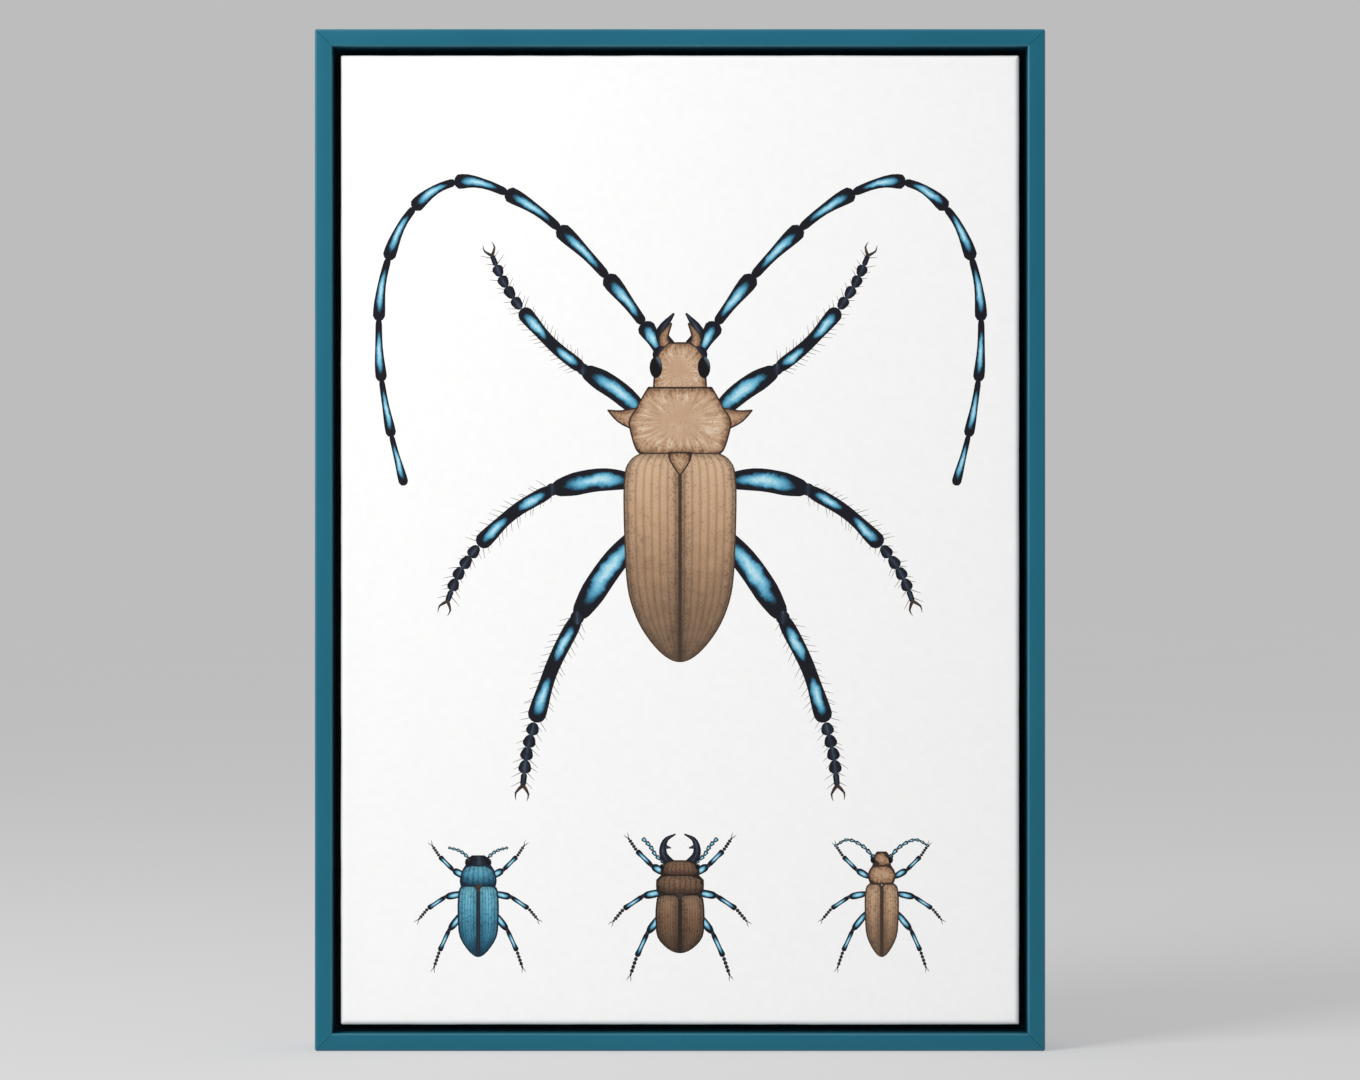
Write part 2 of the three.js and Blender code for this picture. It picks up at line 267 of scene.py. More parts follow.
def lacquer_finish(side):
    """Teal lacquer outside and in front, black inside the float gap as painted shade, and bare wood behind.
    """
    finish = Finish("Teal lacquered rail, " + side, roughness=0.4, specular=0.32)
    x, y, z = finish.parts(finish.place)
    speckle = finish.noise(260.0, 3.0)
    cloud = finish.noise(14.0)
    telegraph = finish.noise(520.0, 3.0, 0.55, at=finish.mapped(Scale=grain_scale(side, 0.03)))

    # Nothing at the frame's outer edge, and less than nothing inside it
    from_side = abs(x) - FRAME_HALF_WIDTH * MM
    outward = from_side.larger(abs(z - MIDDLE.z) - FRAME_HALF_HEIGHT * MM)
    ragged = (speckle - 0.5) * (1.2 * MM)
    depth = y + ragged
    # The black inside the float gap is painted shade: dark lacquer where the gap is only in shadow
    inside = finish.step(outward, -(FRAME_FACE + 0.15) * MM, -(FRAME_FACE - 0.15) * MM, 1.0, 0.0)
    below_edge = finish.step(depth, (FRAME_FRONT + 0.6) * MM, (FRAME_FRONT + 1.1) * MM)
    short_of_tip = finish.step(depth, (CANVAS_BACK + 0.7) * MM, (CANVAS_BACK + 1.6) * MM, 1.0, 0.0)
    gap_shade_black = inside * below_edge * short_of_tip

    # Painted sheen along both edges of the face, where the lacquer is also thin and rubbed
    outer_rim = finish.step(outward, -1.5 * MM, -0.4 * MM)
    inner_rim = finish.step(outward, -(FRAME_FACE - 0.3) * MM, -(FRAME_FACE - 1.4) * MM, 1.0, 0.0)
    near_front = finish.step(y, (FRAME_FRONT + 0.2) * MM, (FRAME_FRONT + 1.6) * MM, 1.0, 0.0)
    rubbed_and_sheen = outer_rim.larger(inner_rim) * near_front * finish.step(telegraph, 0.3, 0.7, 0.12, 0.34)
    teal = finish.ramp(cloud, [(0.3, srgb(9, 97, 119)), (0.7, srgb(13, 102, 125))])
    # The paler, greyer teal along the edges is painted highlight as well as rubbed lacquer
    teal = finish.mix(rubbed_and_sheen, teal, srgb(92, 142, 152))
    # Near-black lacquer for the painted shade inside the float gap
    black = finish.ramp(speckle, [(0.3, srgb(9, 17, 22)), (0.75, srgb(14, 27, 34))])

    # Behind, the lacquer's mist fades into bare wood
    pale, dark = srgb(227, 200, 158), srgb(178, 134, 88)
    bare, grain = wood_colour(finish, side, RAIL_HEARTS[side], pale, dark, RAIL_RING)
    mist_reach = outward + (cloud - 0.5) * (8 * MM) + ragged * 2.5
    mist = finish.step(mist_reach, -4.2 * MM, -0.6 * MM)
    behind = finish.step(y, (FRAME_BACK - 0.45) * MM, (FRAME_BACK - 0.2) * MM)
    bare_share = (behind * (1.0 - mist)).larger(inside * (1.0 - short_of_tip))

    finish.set("Roughness", 0.34 + cloud * 0.14 + gap_shade_black * 0.3 + bare_share * 0.28)
    skin = finish.noise(620.0) * 0.35 + telegraph * 0.5
    finish.relief(skin + grain * bare_share * 1.2, 0.16, 0.16 * MM)
    return finish.coloured(finish.mix(bare_share, finish.mix(gap_shade_black, teal, black), bare))


# ---------------------------------------------------------------- metal and rubber finishes

def metal_finish(name, pale, dark, roughness, brushed=(1.0, 1.0, 1.0)):
    """Plated or blued steel, a little cloudy, with the marks of drawing or stamping."""
    finish = Finish(name)
    finish.set("Metallic", 1.0)
    cloud = finish.noise(380.0, 3.0)
    marks = finish.noise(2600.0, at=finish.mapped(Scale=brushed))
    finish.set("Roughness", marks * 0.22 + (roughness - 0.1))
    finish.relief(marks, 0.2, 0.04 * MM)
    return finish.coloured(finish.ramp(cloud, [(0.3, dark), (0.68, pale)]))


def rubber_finish():
    finish = Finish("Matt black bumper rubber", roughness=0.78, specular=0.35)
    cloud = finish.noise(700.0, 3.0)
    finish.relief(cloud, 0.3, 0.1 * MM)
    return finish.coloured(finish.ramp(cloud, [(0.3, srgb(26, 26, 28)), (0.7, srgb(44, 44, 46))]))


# ---------------------------------------------------------------- canvas and its printed inks

THREAD_PITCH = 0.72 * MM
DOT_SPACING = 1.5 * MM


class Cloth(Finish):
    """Plain-woven cotton of uneven yarn: each thread passes over one and under the next."""

    def __init__(self, name, roughness=0.86):
        super().__init__(name, roughness, specular=0.22)
        x, y, z = self.parts(self.place)
        self.slub = self.noise(240.0)
        shift = self.slub * 1.3
        turn = math.pi / THREAD_PITCH
        warp = ((x + y) * turn + shift).sine()
        weft = ((z + y) * turn + shift).sine()
        crossing = warp * weft
        threads = (abs(warp) + crossing).larger(abs(weft) - crossing) - 1.0
        self.height = threads + self.slub * 0.22
        self.relief(self.height, 0.18, 0.09 * MM)


def white_canvas():
    cloth = Cloth("Primed white canvas")
    return cloth.coloured(cloth.ramp(cloth.slub, [(0.25, srgb(249, 249, 248)), (0.75, srgb(252, 252, 251))]))


def raw_canvas():
    cloth = Cloth("Raw cotton canvas", roughness=0.93)
    # Darker down in the hollows between threads: painted shade, on top of the cotton's own uneven tone
    share = cloth.height * 0.28 + cloth.noise(1500.0)
    return cloth.coloured(cloth.ramp(share, [(0.2, srgb(186, 171, 142)), (0.9, srgb(224, 213, 190))]))


class Ink(Cloth):
    """Canvas under ink, with where a point lies in the printed shape that it fills."""

    def __init__(self, name):
        super().__init__(name, roughness=0.8)
        self.along, self.across, _ = self.parts(self.add("ShaderNodeUVMap", uv_map="figure"))
        self.edge = self.parts(self.add("ShaderNodeUVMap", uv_map="edge"))[0]
        self.grain = self.noise(900.0, 3.0, 0.6)
        self.wash = self.noise(130.0, 3.0, 0.55)

    def stippled(self, colour, dot, strength):
        """Fine pen dots, largest where the shape turns down to its edge."""
        feeds = {"Vector": self.place, "Scale": 1 / DOT_SPACING}
        distance = self.add("ShaderNodeTexVoronoi", feeds, gives="Distance", feature="F1")
        size = self.step(self.edge, 0.5, 9.0, 0.46, 0.2) + (self.wash - 0.5) * 0.5
        spot = self.step(distance - size, -0.08, 0.08, strength, 0.0)
        return self.mix(spot, colour, dot)

    def outlined(self, colour, line, width):
        """The finished ink, inside a slightly ragged line that follows the shape's edge."""
        reach = self.edge + (self.grain - 0.5) * 0.7 * width
        inside = self.step(reach, width * 0.5, width)
        return self.coloured(self.mix(inside, line, colour))


def banded_limb_ink():
    """Blue-black limbs with soft turquoise lights, one for each whole number along the limb."""
    ink = Ink("Blue-black limb ink with turquoise lights")
    lengthways = (ink.along.fraction() - 0.52) * 2.75
    sideways = (ink.across + (ink.wash - 0.5) * 0.9) * 1.42
    light = 1.0 - (abs(lengthways) ** 2.4 + abs(sideways) ** 2.0) + (ink.grain - 0.5) * 0.3
    colour = ink.ramp(light, [
        (0.0, srgb(19, 21, 30)),
        (0.14, srgb(23, 46, 62)),
        (0.34, srgb(40, 98, 124)),
        (0.62, srgb(88, 160, 192)),
        (0.84, srgb(126, 194, 218)),
        (0.99, srgb(186, 226, 238)),
    ])
    return ink.outlined(colour, srgb(15, 17, 24), 0.7)


def dark_joint_ink():
    ink = Ink("Blue-black joint ink")
    sheen = (1.0 - abs(ink.across)) * 0.8 + (ink.wash - 0.55)
    colour = ink.ramp(sheen, [(0.15, srgb(17, 19, 27)), (0.55, srgb(33, 39, 52)), (0.95, srgb(70, 86, 104))])
    return ink.outlined(colour, srgb(13, 14, 20), 0.5)


def shield_ink():
    """Fawn shields with pale streaks that spread from the middle."""
    ink = Ink("Fawn shield ink")
    down = (ink.along - 0.5) * 2.0
    out = (down * down + ink.across * ink.across).root()
    angle = ink.across.angle_from(down)
    streak = ink.noise(3.2, 2.0, 0.55, at=ink.vector(angle * 2.6, out * 0.7))
    streak = (streak - 0.5) * ink.step(out, 0.1, 0.75, 0.1, 0.9)
    shade = streak + 0.42 + ink.wash * 0.3 - ink.step(ink.edge, 0.6, 5.5, 0.3, 0.0)
    colour = ink.ramp(shade, [
        (0.22, srgb(126, 94, 70)),
        (0.42, srgb(183, 147, 116)),
        (0.58, srgb(198, 164, 134)),
        (0.78, srgb(226, 202, 176)),
    ])
    return ink.outlined(ink.stippled(colour, srgb(116, 84, 62), 0.45), srgb(58, 42, 33), 1.25)


def ridged_case_ink(name, stops, line, ridges, depth):
    """Wing cases shaded along their length, with fine ridges that follow their sides."""
    ink = Ink(name)
    wave = abs((ink.across * (ridges * math.pi)).cosine()) ** 6.0
    tone = ink.along + (ink.wash - 0.5) * 0.35 + (ink.grain - 0.5) * 0.22
    colour = ink.mix(wave * depth, ink.ramp(tone, stops), line)
    crown = (1.0 - ink.across * ink.across).larger(0.0) ** 2.0
    colour = ink.mix(crown * 0.24, colour, srgb(250, 238, 222), blend="SOFT_LIGHT")
    rim = ink.step(ink.edge, 0.4, 5.0, 0.42, 0.0)
    colour = ink.stippled(ink.mix(rim, colour, line), line, 0.34)
    return ink.outlined(colour, line, 1.05)


def sepia_line_ink():
    ink = Ink("Sepia line ink")
    return ink.coloured(ink.ramp(ink.grain, [(0.3, srgb(44, 35, 30)), (0.75, srgb(84, 66, 54))]))


def eye_ink():
    ink = Ink("Glossy black eye ink")
    glint = ink.step(ink.across * 0.5 + (1.0 - ink.along), 0.75, 1.3)
    colour = ink.mix(glint * 0.55, srgb(12, 12, 16), srgb(128, 150, 168))
    return ink.outlined(colour, srgb(9, 9, 12), 0.4)


# The canvas's finishes, in the order of its material slots
WHITE, LIMB, JOINT, SHIELD, FAWN_CASE, TEAL_CASE, UMBER_CASE, LINE, EYE, RAW = range(10)


def canvas_finishes():
    return [
        white_canvas(),
        banded_limb_ink(),
        dark_joint_ink(),
        shield_ink(),
        ridged_case_ink("Fawn to umber wing case ink", [
            (0.0, srgb(206, 172, 141)),
            (0.3, srgb(190, 154, 123)),
            (0.62, srgb(150, 120, 95)),
            (1.0, srgb(100, 82, 67)),
        ], srgb(70, 54, 43), 3.5, 0.34),
        ridged_case_ink("Turquoise wing case ink", [
            (0.0, srgb(118, 196, 218)),
            (0.4, srgb(84, 160, 190)),
            (0.75, srgb(44, 108, 136)),
            (1.0, srgb(22, 62, 84)),
        ], srgb(17, 38, 54), 3.5, 0.5),
        ridged_case_ink("Umber wing case ink", [
            (0.0, srgb(150, 120, 96)),
            (0.45, srgb(118, 91, 71)),
            (1.0, srgb(70, 54, 44)),
        ], srgb(40, 30, 25), 4.5, 0.45),
        sepia_line_ink(),
        eye_ink(),
        raw_canvas(),
    ]


# ---------------------------------------------------------------- drawing the beetles

class Plate:
    """The printed shapes, later ones over earlier ones, each as a grid of triangles."""

    def __init__(self):
        self.points = []
        self.triangles = []
        self.fills = []
        self.ink = []

    def shape(self, ink, rows, along, lined_length=None):
        """rows holds each row's points across the shape, from its left edge to its right one.

        along says how far down the shape each row lies. A shape with a lined length has its line
        at both ends too.
        """
        first = len(self.points)
        columns = len(rows[0])
        fills = []
        for row, u in zip(rows, along):
            half = (row[-1] - row[0]).length / 2
            to_end = min(u, 1 - u) * lined_length if lined_length else half
            for column, point in enumerate(row):
                v = 2 * column / (columns - 1) - 1
                self.points.append(point)
                fills.append((u, v, min((1 - abs(v)) * half, to_end)))
        for r in range(len(rows) - 1):
            for c in range(columns - 1):
                a = r * columns + c
                b = a + columns
                for corners in ((a, a + 1, b + 1), (a, b + 1, b)):
                    self.triangles.append(tuple(first + k for k in corners))
                    self.fills.append(tuple(fills[k] for k in corners))
                    self.ink.append(ink)


def smooth_curve(points, share):
    """The point at a share of the way along a smooth curve through the given points."""
    position = min(max(share, 0.0), 1.0) * (len(points) - 1)
    index = min(int(position), len(points) - 2)
    t = position - index
    b, c = points[index], points[index + 1]
    a = points[index - 1] if index else b * 2 - c
    d = points[index + 2] if index + 2 < len(points) else c * 2 - b
    square, cube = a * 2 - b * 5 + c * 4 - d, b * 3 - a - c * 3 + d
    return 0.5 * (b * 2 + (c - a) * t + square * t * t + cube * t * t * t)


def way_along(points, share):
    """The direction of a smooth curve at a share of the way along it."""
    step = 0.01
    return smooth_curve(points, share + step) - smooth_curve(points, share - step)


def smooth_value(stops, share):
    """A width between stops of (share, width), on a curve that never overshoots a stop."""
    spans = [(s1 - s0, (w1 - w0) / (s1 - s0)) for (s0, w0), (s1, w1) in zip(stops, stops[1:])]
    slopes = [spans[0][1]]
    for (_, before), (_, after) in zip(spans, spans[1:]):
        slopes.append(2 * before * after / (before + after) if before * after > 0 else 0.0)
    slopes.append(spans[-1][1])
    for k, (length, _) in enumerate(spans):
        if share <= stops[k + 1][0] or k == len(spans) - 1:
            t = (share - stops[k][0]) / length
            low, high = stops[k][1], stops[k + 1][1]
            first, second = slopes[k] * length, slopes[k + 1] * length
            bend = t * t * (3 - 2 * t)
            return low + (high - low) * bend + first * t * (1 - t) ** 2 - second * t * t * (1 - t)


def end_eased(count):
    """Shares from 0 to 1, closest together at both ends."""
    return [0.5 - 0.5 * math.cos(math.pi * k / (count - 1)) for k in range(count)]


def across(left, right, columns):
    """Even points from left to right."""
    return [left.lerp(right, k / (columns - 1)) for k in range(columns)]


CASE_TIP = 0.62
CASE_SEAM = 0.16
SEAM_LINE = 1.3 * CASE_SEAM
THINNEST_CASE = 0.1
THINNEST_LIMB = 0.04
THINNEST_SPOT = 0.02
NO_LENGTH = 1e-6
LINE_START = 1.0
LINE_END = 0.05
BRISTLE_THICKNESS = 0.2
BRISTLE_LEAN = 0.5
FOOT_JOINTS = 4
SMALL_ROW_SHARE = 0.6


class Beetle:
    """Draws one beetle, head up, from sizes in millimetres about its own middle.

    A small beetle is drawn with fewer rows and columns of triangles in each of its shapes.
    """

    def __init__(self, plate, middle, small=False):
        self.plate = plate
        self.middle = Vector(middle)
        self.small = small
        self.random = random.Random(round(middle[0] * 31 + middle[1] * 17))

    def at(self, x, z):
        return self.middle + Vector((x, z))

    def grid_size(self, rows, columns):
        if self.small:
            return max(4, round(rows * SMALL_ROW_SHARE)), 3 if columns < 7 else 5
        return rows, columns

    def limb(self, ink, points, widths, lights=1.0, rows=15, columns=5, round_end=1.0):
        """A tapered piece along a smooth path, with round ends, drawn on both sides."""
        rows, columns = self.grid_size(rows, columns)
        for side in (-1, 1):
            path = [self.at(x * side, z) for x, z in points]
            length = sum((b - a).length for a, b in zip(path, path[1:]))
            grid, shares = [], end_eased(rows)
            for share in shares:
                here = smooth_curve(path, share)
                ahead = way_along(path, share)
                sideways = Vector((ahead.y, -ahead.x)).normalized()
                half = smooth_value(widths, share)
                to_end = min(share, 1 - share) * length / max(half * round_end, NO_LENGTH)
                if to_end < 1:
                    half *= math.sqrt(max(1 - (1 - to_end) ** 2, 0.0))
                half = max(half, THINNEST_LIMB)
                grid.append(across(here - sideways * half, here + sideways * half, columns))
            if side < 0:
                grid = [row[::-1] for row in grid]
                grid.reverse()
                shares = shares[::-1]
            self.plate.shape(ink, grid, [share * lights for share in shares])

    def case(self, ink, top, bottom, widths, rows=30, columns=9):
        """The two wing cases, round at the tip, which meet along a dark seam down the middle."""
        rows, columns = self.grid_size(rows, columns)
        # Drawn first and a little wider than the gap, so that the cases leave only the gap of it
        heights = (top - LINE_START, bottom + LINE_END)
        line = [[self.at(x, z) for x in (-SEAM_LINE, 0, SEAM_LINE)] for z in heights]
        self.plate.shape(LINE, line, (0.0, 1.0))
        for side in (-1, 1):
            grid, shares = [], end_eased(rows)
            for share in shares:
                z = top + (bottom - top) * share
                tip = max(0.0, (share - CASE_TIP) / (1 - CASE_TIP))
                half = smooth_value(widths, share) * math.sqrt(max(0.0, 1 - tip * tip))
                far = max(half, CASE_SEAM + THINNEST_CASE)
                row = across(self.at(CASE_SEAM * side, z), self.at(far * side, z), columns)
                grid.append(row if side > 0 else row[::-1])
            self.plate.shape(ink, grid, shares, abs(top - bottom))

    def shield(self, ink, top, bottom, widths, rows=16, columns=9):
        """A plate across the middle, such as the head or the shield behind it."""
        rows, columns = self.grid_size(rows, columns)
        grid, shares = [], end_eased(rows)
        for share in shares:
            z = top + (bottom - top) * share
            half = max(smooth_value(widths, share), THINNEST_CASE)
            grid.append(across(self.at(-half, z), self.at(half, z), columns))
        self.plate.shape(ink, grid, shares, abs(top - bottom))

    def spot(self, ink, x, z, half_width, half_height):
        """An oval on each side."""
        rows, columns = self.grid_size(9, 5)
        for side in (-1, 1):
            grid, shares = [], end_eased(rows)
            for share in shares:
                half = half_width * math.sqrt(max(1 - (2 * share - 1) ** 2, THINNEST_SPOT ** 2))
                row_z = z + half_height * (1 - 2 * share)
                grid.append(across(self.at(x * side - half, row_z), self.at(x * side + half, row_z), columns))
            self.plate.shape(ink, grid, shares)

    def bristles(self, points, count, length):
        """Short hairs along both sides of a limb's path."""
        for side in (-1, 1):
            path = [self.at(x * side, z) for x, z in points]
            for k in range(count):
                share = (k + self.random.random() * 0.7) / count
                here = smooth_curve(path, share)
                ahead = way_along(path, share).normalized()
                sideways = Vector((ahead.y, -ahead.x))
                for hand in (-1, 1):
                    lean = BRISTLE_LEAN + 0.4 * self.random.random()
                    way = (sideways * hand + ahead * lean).normalized()
                    reach = length * (0.7 + 0.5 * self.random.random())
                    thick = Vector((way.y, -way.x)) * BRISTLE_THICKNESS
                    root = here + sideways * hand * length * 0.2
                    tip, thin = root + way * reach, thick * 0.3
                    rows = [[root - thick, root, root + thick], [tip - thin, tip, tip + thin]]
                    self.plate.shape(LINE, rows, (0.0, 1.0))

    def leg(self, femur, tibia, foot, thick, lights=(1, 2), hairs=True):
        """A leg, given from the body outwards and drawn the other way, each part over the last."""
        knee, ankle, toe = femur[-1], tibia[-1], foot[-1]
        foot_path = [ankle] + foot
        if hairs:
            self.bristles([knee] + tibia, 15, thick * 1.15)
            self.bristles(foot_path, 8, thick * 0.9)
        parts = FOOT_JOINTS + 1
        for k in range(parts):
            ends = [smooth_pair(foot_path, k / parts), smooth_pair(foot_path, min(1.0, (k + 1.05) / parts))]
            stops = [(0.0, 0.3), (0.7, 0.52), (1.0, 0.4)] if k < FOOT_JOINTS else [(0.0, 0.26), (1.0, 0.22)]
            self.limb(JOINT, ends, times(thick, stops), rows=8, round_end=0.7)
        for hand in (-1, 1):
            hook = claw(foot_path, toe, hand, thick)
            self.limb(LINE, hook, [(0.0, thick * 0.16), (1.0, 0.05)], rows=7, columns=3, round_end=0.3)
        shin = times(thick, [(0.0, 0.5), (0.15, 0.62), (0.6, 0.56), (0.92, 0.72), (1.0, 0.62)])
        self.limb(LIMB, [knee] + tibia, shin, lights=lights[1], rows=19, round_end=0.8)
        thigh = times(thick, [(0.0, 0.55), (0.45, 0.98), (0.72, 1.0), (1.0, 0.62)])
        self.limb(LIMB, femur, thigh, lights=lights[0], rows=19, round_end=0.8)
        self.spot(JOINT, *knee, thick * 0.55, thick * 0.55)

    def antenna(self, points, joints, start, end):
        """Beaded feelers: each joint widens to its tip and carries one light."""
        for k in reversed(range(joints)):
            first, last = k / joints, min(1.0, (k + 1.03) / joints)
            path = [smooth_pair(points, first + (last - first) * t) for t in (0.0, 0.34, 0.67, 1.0)]
            thick = start + (end - start) * k / max(joints - 1, 1)
            stops = times(thick, [(0.0, 0.62), (0.4, 0.74), (0.9, 1.12), (1.0, 1.0)])
            self.limb(LIMB, path, stops, rows=12, round_end=0.8)


def times(size, stops):
    """Stops of (share, width) with each width in units of a size."""
    return [(share, size * width) for share, width in stops]


def smooth_pair(points, share):
    found = smooth_curve([Vector(p) for p in points], share)
    return found.x, found.y


def claw(path, toe, hand, thick):
    """A hooked claw at the end of a foot."""
    tip, before = Vector(toe), Vector(smooth_pair(path, 0.9))
    ahead = (tip - before).normalized()
    side = Vector((ahead.y, -ahead.x)) * hand
    bend = tip + ahead * thick * 0.55 + side * thick * 0.5
    end = tip + ahead * thick * 1.15 + side * thick * 0.42
    return [tuple(tip - ahead * thick * 0.1), tuple(bend), tuple(end)]


def longhorn(plate):
    """The large one: a longhorn with swept feelers, fawn shield and wing cases."""
    b = Beetle(plate, (0, 16))
    b.leg([(14, 44), (31, 60), (50, 72)], [(66, 85), (82, 103)], [(91, 117), (97, 131)], 5.6)
    b.leg([(20, 14), (42, 15), (66, 10)], [(86, -2), (104, -19)], [(114, -33), (120, -48)], 6.0)
    b.leg([(17, -8), (36, -30), (53, -56)], [(66, -82), (75, -110)], [(79, -126), (81, -143)], 6.6)
    feeler = [(9, 79), (22, 100), (48, 131), (80, 158), (113, 169), (139, 153), (153, 119), (155, 80),
              (150, 44), (142, 12)]
    b.antenna(feeler, 11, 4.3, 2.2)
    jaw, jaw_plate = [(5, 82), (9.5, 91), (3, 101)], [(5.5, 80), (8.4, 88), (4.4, 96)]
    b.limb(JOINT, jaw, [(0.0, 4.2), (0.5, 3.0), (1.0, 0.5)], rows=14, round_end=0.5)
    b.limb(SHIELD, jaw_plate, [(0.0, 3.8), (0.55, 2.6), (1.0, 0.6)], rows=14, round_end=0.5)
    b.spot(JOINT, 9.6, 79.5, 4.6, 4.6)
    b.shield(SHIELD, 86, 57, [(0.0, 5.5), (0.12, 9.5), (0.35, 13.0), (0.6, 13.6), (0.85, 14.0), (1.0, 14.0)])
    b.spot(EYE, 12.4, 73.0, 3.3, 5.6)
    spine = [(20, 46), (30, 47.5), (37.5, 51)]
    b.limb(SHIELD, spine, [(0.0, 7.0), (0.55, 3.4), (1.0, 0.3)], rows=12, round_end=0.3)
    widths = [(0.0, 16.5), (0.08, 18.2), (0.3, 22.5), (0.52, 26.6), (0.75, 25.0), (0.94, 22.6), (1.0, 20.5)]
    b.shield(SHIELD, 63, 28, widths, rows=22, columns=13)
    widths = [(0.0, 20.0), (0.025, 24.6), (0.08, 28.2), (0.2, 29.2), (0.5, 28.4), (0.8, 25.0), (1.0, 20.0)]
    b.case(FAWN_CASE, 29, -79, widths, rows=40, columns=11)
    b.shield(SHIELD, 29.5, 17, [(0.0, 6.4), (0.3, 5.8), (0.7, 3.0), (1.0, 0.2)], rows=8, columns=5)


def jewel_beetle(plate, middle):
    """A slim one with turquoise wing cases."""
    b = Beetle(plate, middle, small=True)
    small_legs(b, 1.0, 1.9)
    b.antenna([(3.2, 22.5), (9, 27.5), (15.5, 29.5)], 6, 1.15, 0.8)
    b.shield(JOINT, 25.5, 19, [(0.0, 3.2), (0.3, 5.4), (1.0, 6.6)], rows=9, columns=5)
    b.spot(EYE, 5.4, 21.8, 1.5, 2.2)
    b.shield(TEAL_CASE, 20.5, 9.5, [(0.0, 6.6), (0.35, 8.8), (0.8, 9.6), (1.0, 9.0)], rows=12, columns=7)
    b.case(TEAL_CASE, 10, -27, [(0.0, 8.2), (0.05, 9.9), (0.3, 10.7), (0.65, 10.2), (1.0, 7.0)])
    b.shield(LINE, 10.2, 6.4, [(0.0, 1.9), (1.0, 0.15)], rows=5, columns=3)


def stag_beetle(plate, middle):
    """A broad one with toothed jaws and umber wing cases."""
    b = Beetle(plate, middle, small=True)
    small_legs(b, 1.12, 2.1)
    b.antenna([(7.2, 21.0), (12.2, 25.2), (15.4, 30.2), (19.4, 34.4)], 6, 1.15, 1.3)
    jaw = [(3.8, 20), (8.6, 26), (7.6, 33), (2.2, 36.5)]
    b.limb(JOINT, jaw, [(0.0, 2.6), (0.45, 1.9), (1.0, 0.35)], rows=30, round_end=0.4)
    b.limb(JOINT, [(7.8, 30), (4.4, 29.2)], [(0.0, 1.3), (1.0, 0.2)], rows=12, columns=3, round_end=0.3)
    b.shield(UMBER_CASE, 23, 14.5, [(0.0, 6.2), (0.25, 8.8), (0.7, 10.2), (1.0, 9.6)], rows=12, columns=7)
    b.spot(EYE, 9.2, 19.6, 1.3, 1.5)
    b.shield(UMBER_CASE, 15.5, 5.0, [(0.0, 9.6), (0.3, 12.4), (0.8, 12.2), (1.0, 10.8)], rows=12, columns=7)
    b.case(UMBER_CASE, 5.5, -25, [(0.0, 10.2), (0.06, 11.9), (0.35, 12.7), (0.7, 12.2), (1.0, 10.0)])
    b.shield(LINE, 5.8, 2.4, [(0.0, 2.2), (1.0, 0.15)], rows=5, columns=3)


def rove_longhorn(plate, middle):
    """A slim fawn one with a narrow waist."""
    b = Beetle(plate, middle, small=True)
    small_legs(b, 1.0, 1.8)
    b.antenna([(3.0, 23), (9.5, 30), (17.5, 33.5), (24.5, 30)], 8, 1.25, 0.75)
    b.shield(SHIELD, 27.5, 19.5, [(0.0, 2.4), (0.3, 4.2), (0.8, 4.8), (1.0, 4.6)], rows=9, columns=5)
    b.spot(EYE, 4.6, 23.2, 1.3, 1.9)
    b.shield(SHIELD, 20.5, 10.5, [(0.0, 4.8), (0.5, 7.4), (1.0, 6.0)], rows=12, columns=7)
    b.case(FAWN_CASE, 11, -27, [(0.0, 6.4), (0.05, 8.2), (0.25, 8.9), (0.65, 8.3), (1.0, 5.8)])


def small_legs(b, size, thick):
    """Six legs in the usual spread for a small beetle."""
    for leg in (
        ([(6, 14), (13, 18)], [(20, 25)], [(24, 31)]),
        ([(7, 6), (17, 4)], [(26, -2)], [(31, -8)]),
        ([(7, -3), (15, -13)], [(20, -24)], [(23, -33)]),
    ):
        femur, tibia, foot = ([(x * size, z * size) for x, z in part] for part in leg)
        b.leg(femur, tibia, foot, thick, (1, 1), hairs=False)


SMALL_ROW_HEIGHT = -188.0
SMALL_ROW_SPACING = 104.0


def printed_plate():
    plate = Plate()
    longhorn(plate)
    jewel_beetle(plate, (-SMALL_ROW_SPACING, SMALL_ROW_HEIGHT))
    stag_beetle(plate, (0.0, SMALL_ROW_HEIGHT))
    rove_longhorn(plate, (SMALL_ROW_SPACING, SMALL_ROW_HEIGHT))
    return plate


# ---------------------------------------------------------------- making pieces

MERGE_DISTANCE = 0.01 * MM
FLAT_ANGLE = 0.5
BEVEL_ANGLE = 40
SHARP_ANGLE = 32


def new_piece(name, data, *finishes):
    """A mesh, lamp or camera in the scene."""
    piece = bpy.data.objects.new(name, data)
    bpy.context.scene.collection.objects.link(piece)
    for finish in finishes:
        data.materials.append(finish)
    return piece


def plain_mesh(piece):
    """Runs a piece's modifiers for good, and leaves it with the mesh that they make."""
    graph = bpy.context.evaluated_depsgraph_get()
    mesh = bpy.data.meshes.new_from_object(piece.evaluated_get(graph))
    piece.modifiers.clear()
    piece.data = mesh
    return mesh


def smooth_by_angle(mesh, degrees):
    mesh.shade_smooth()
    mesh.set_sharp_from_angle(angle=math.radians(degrees))


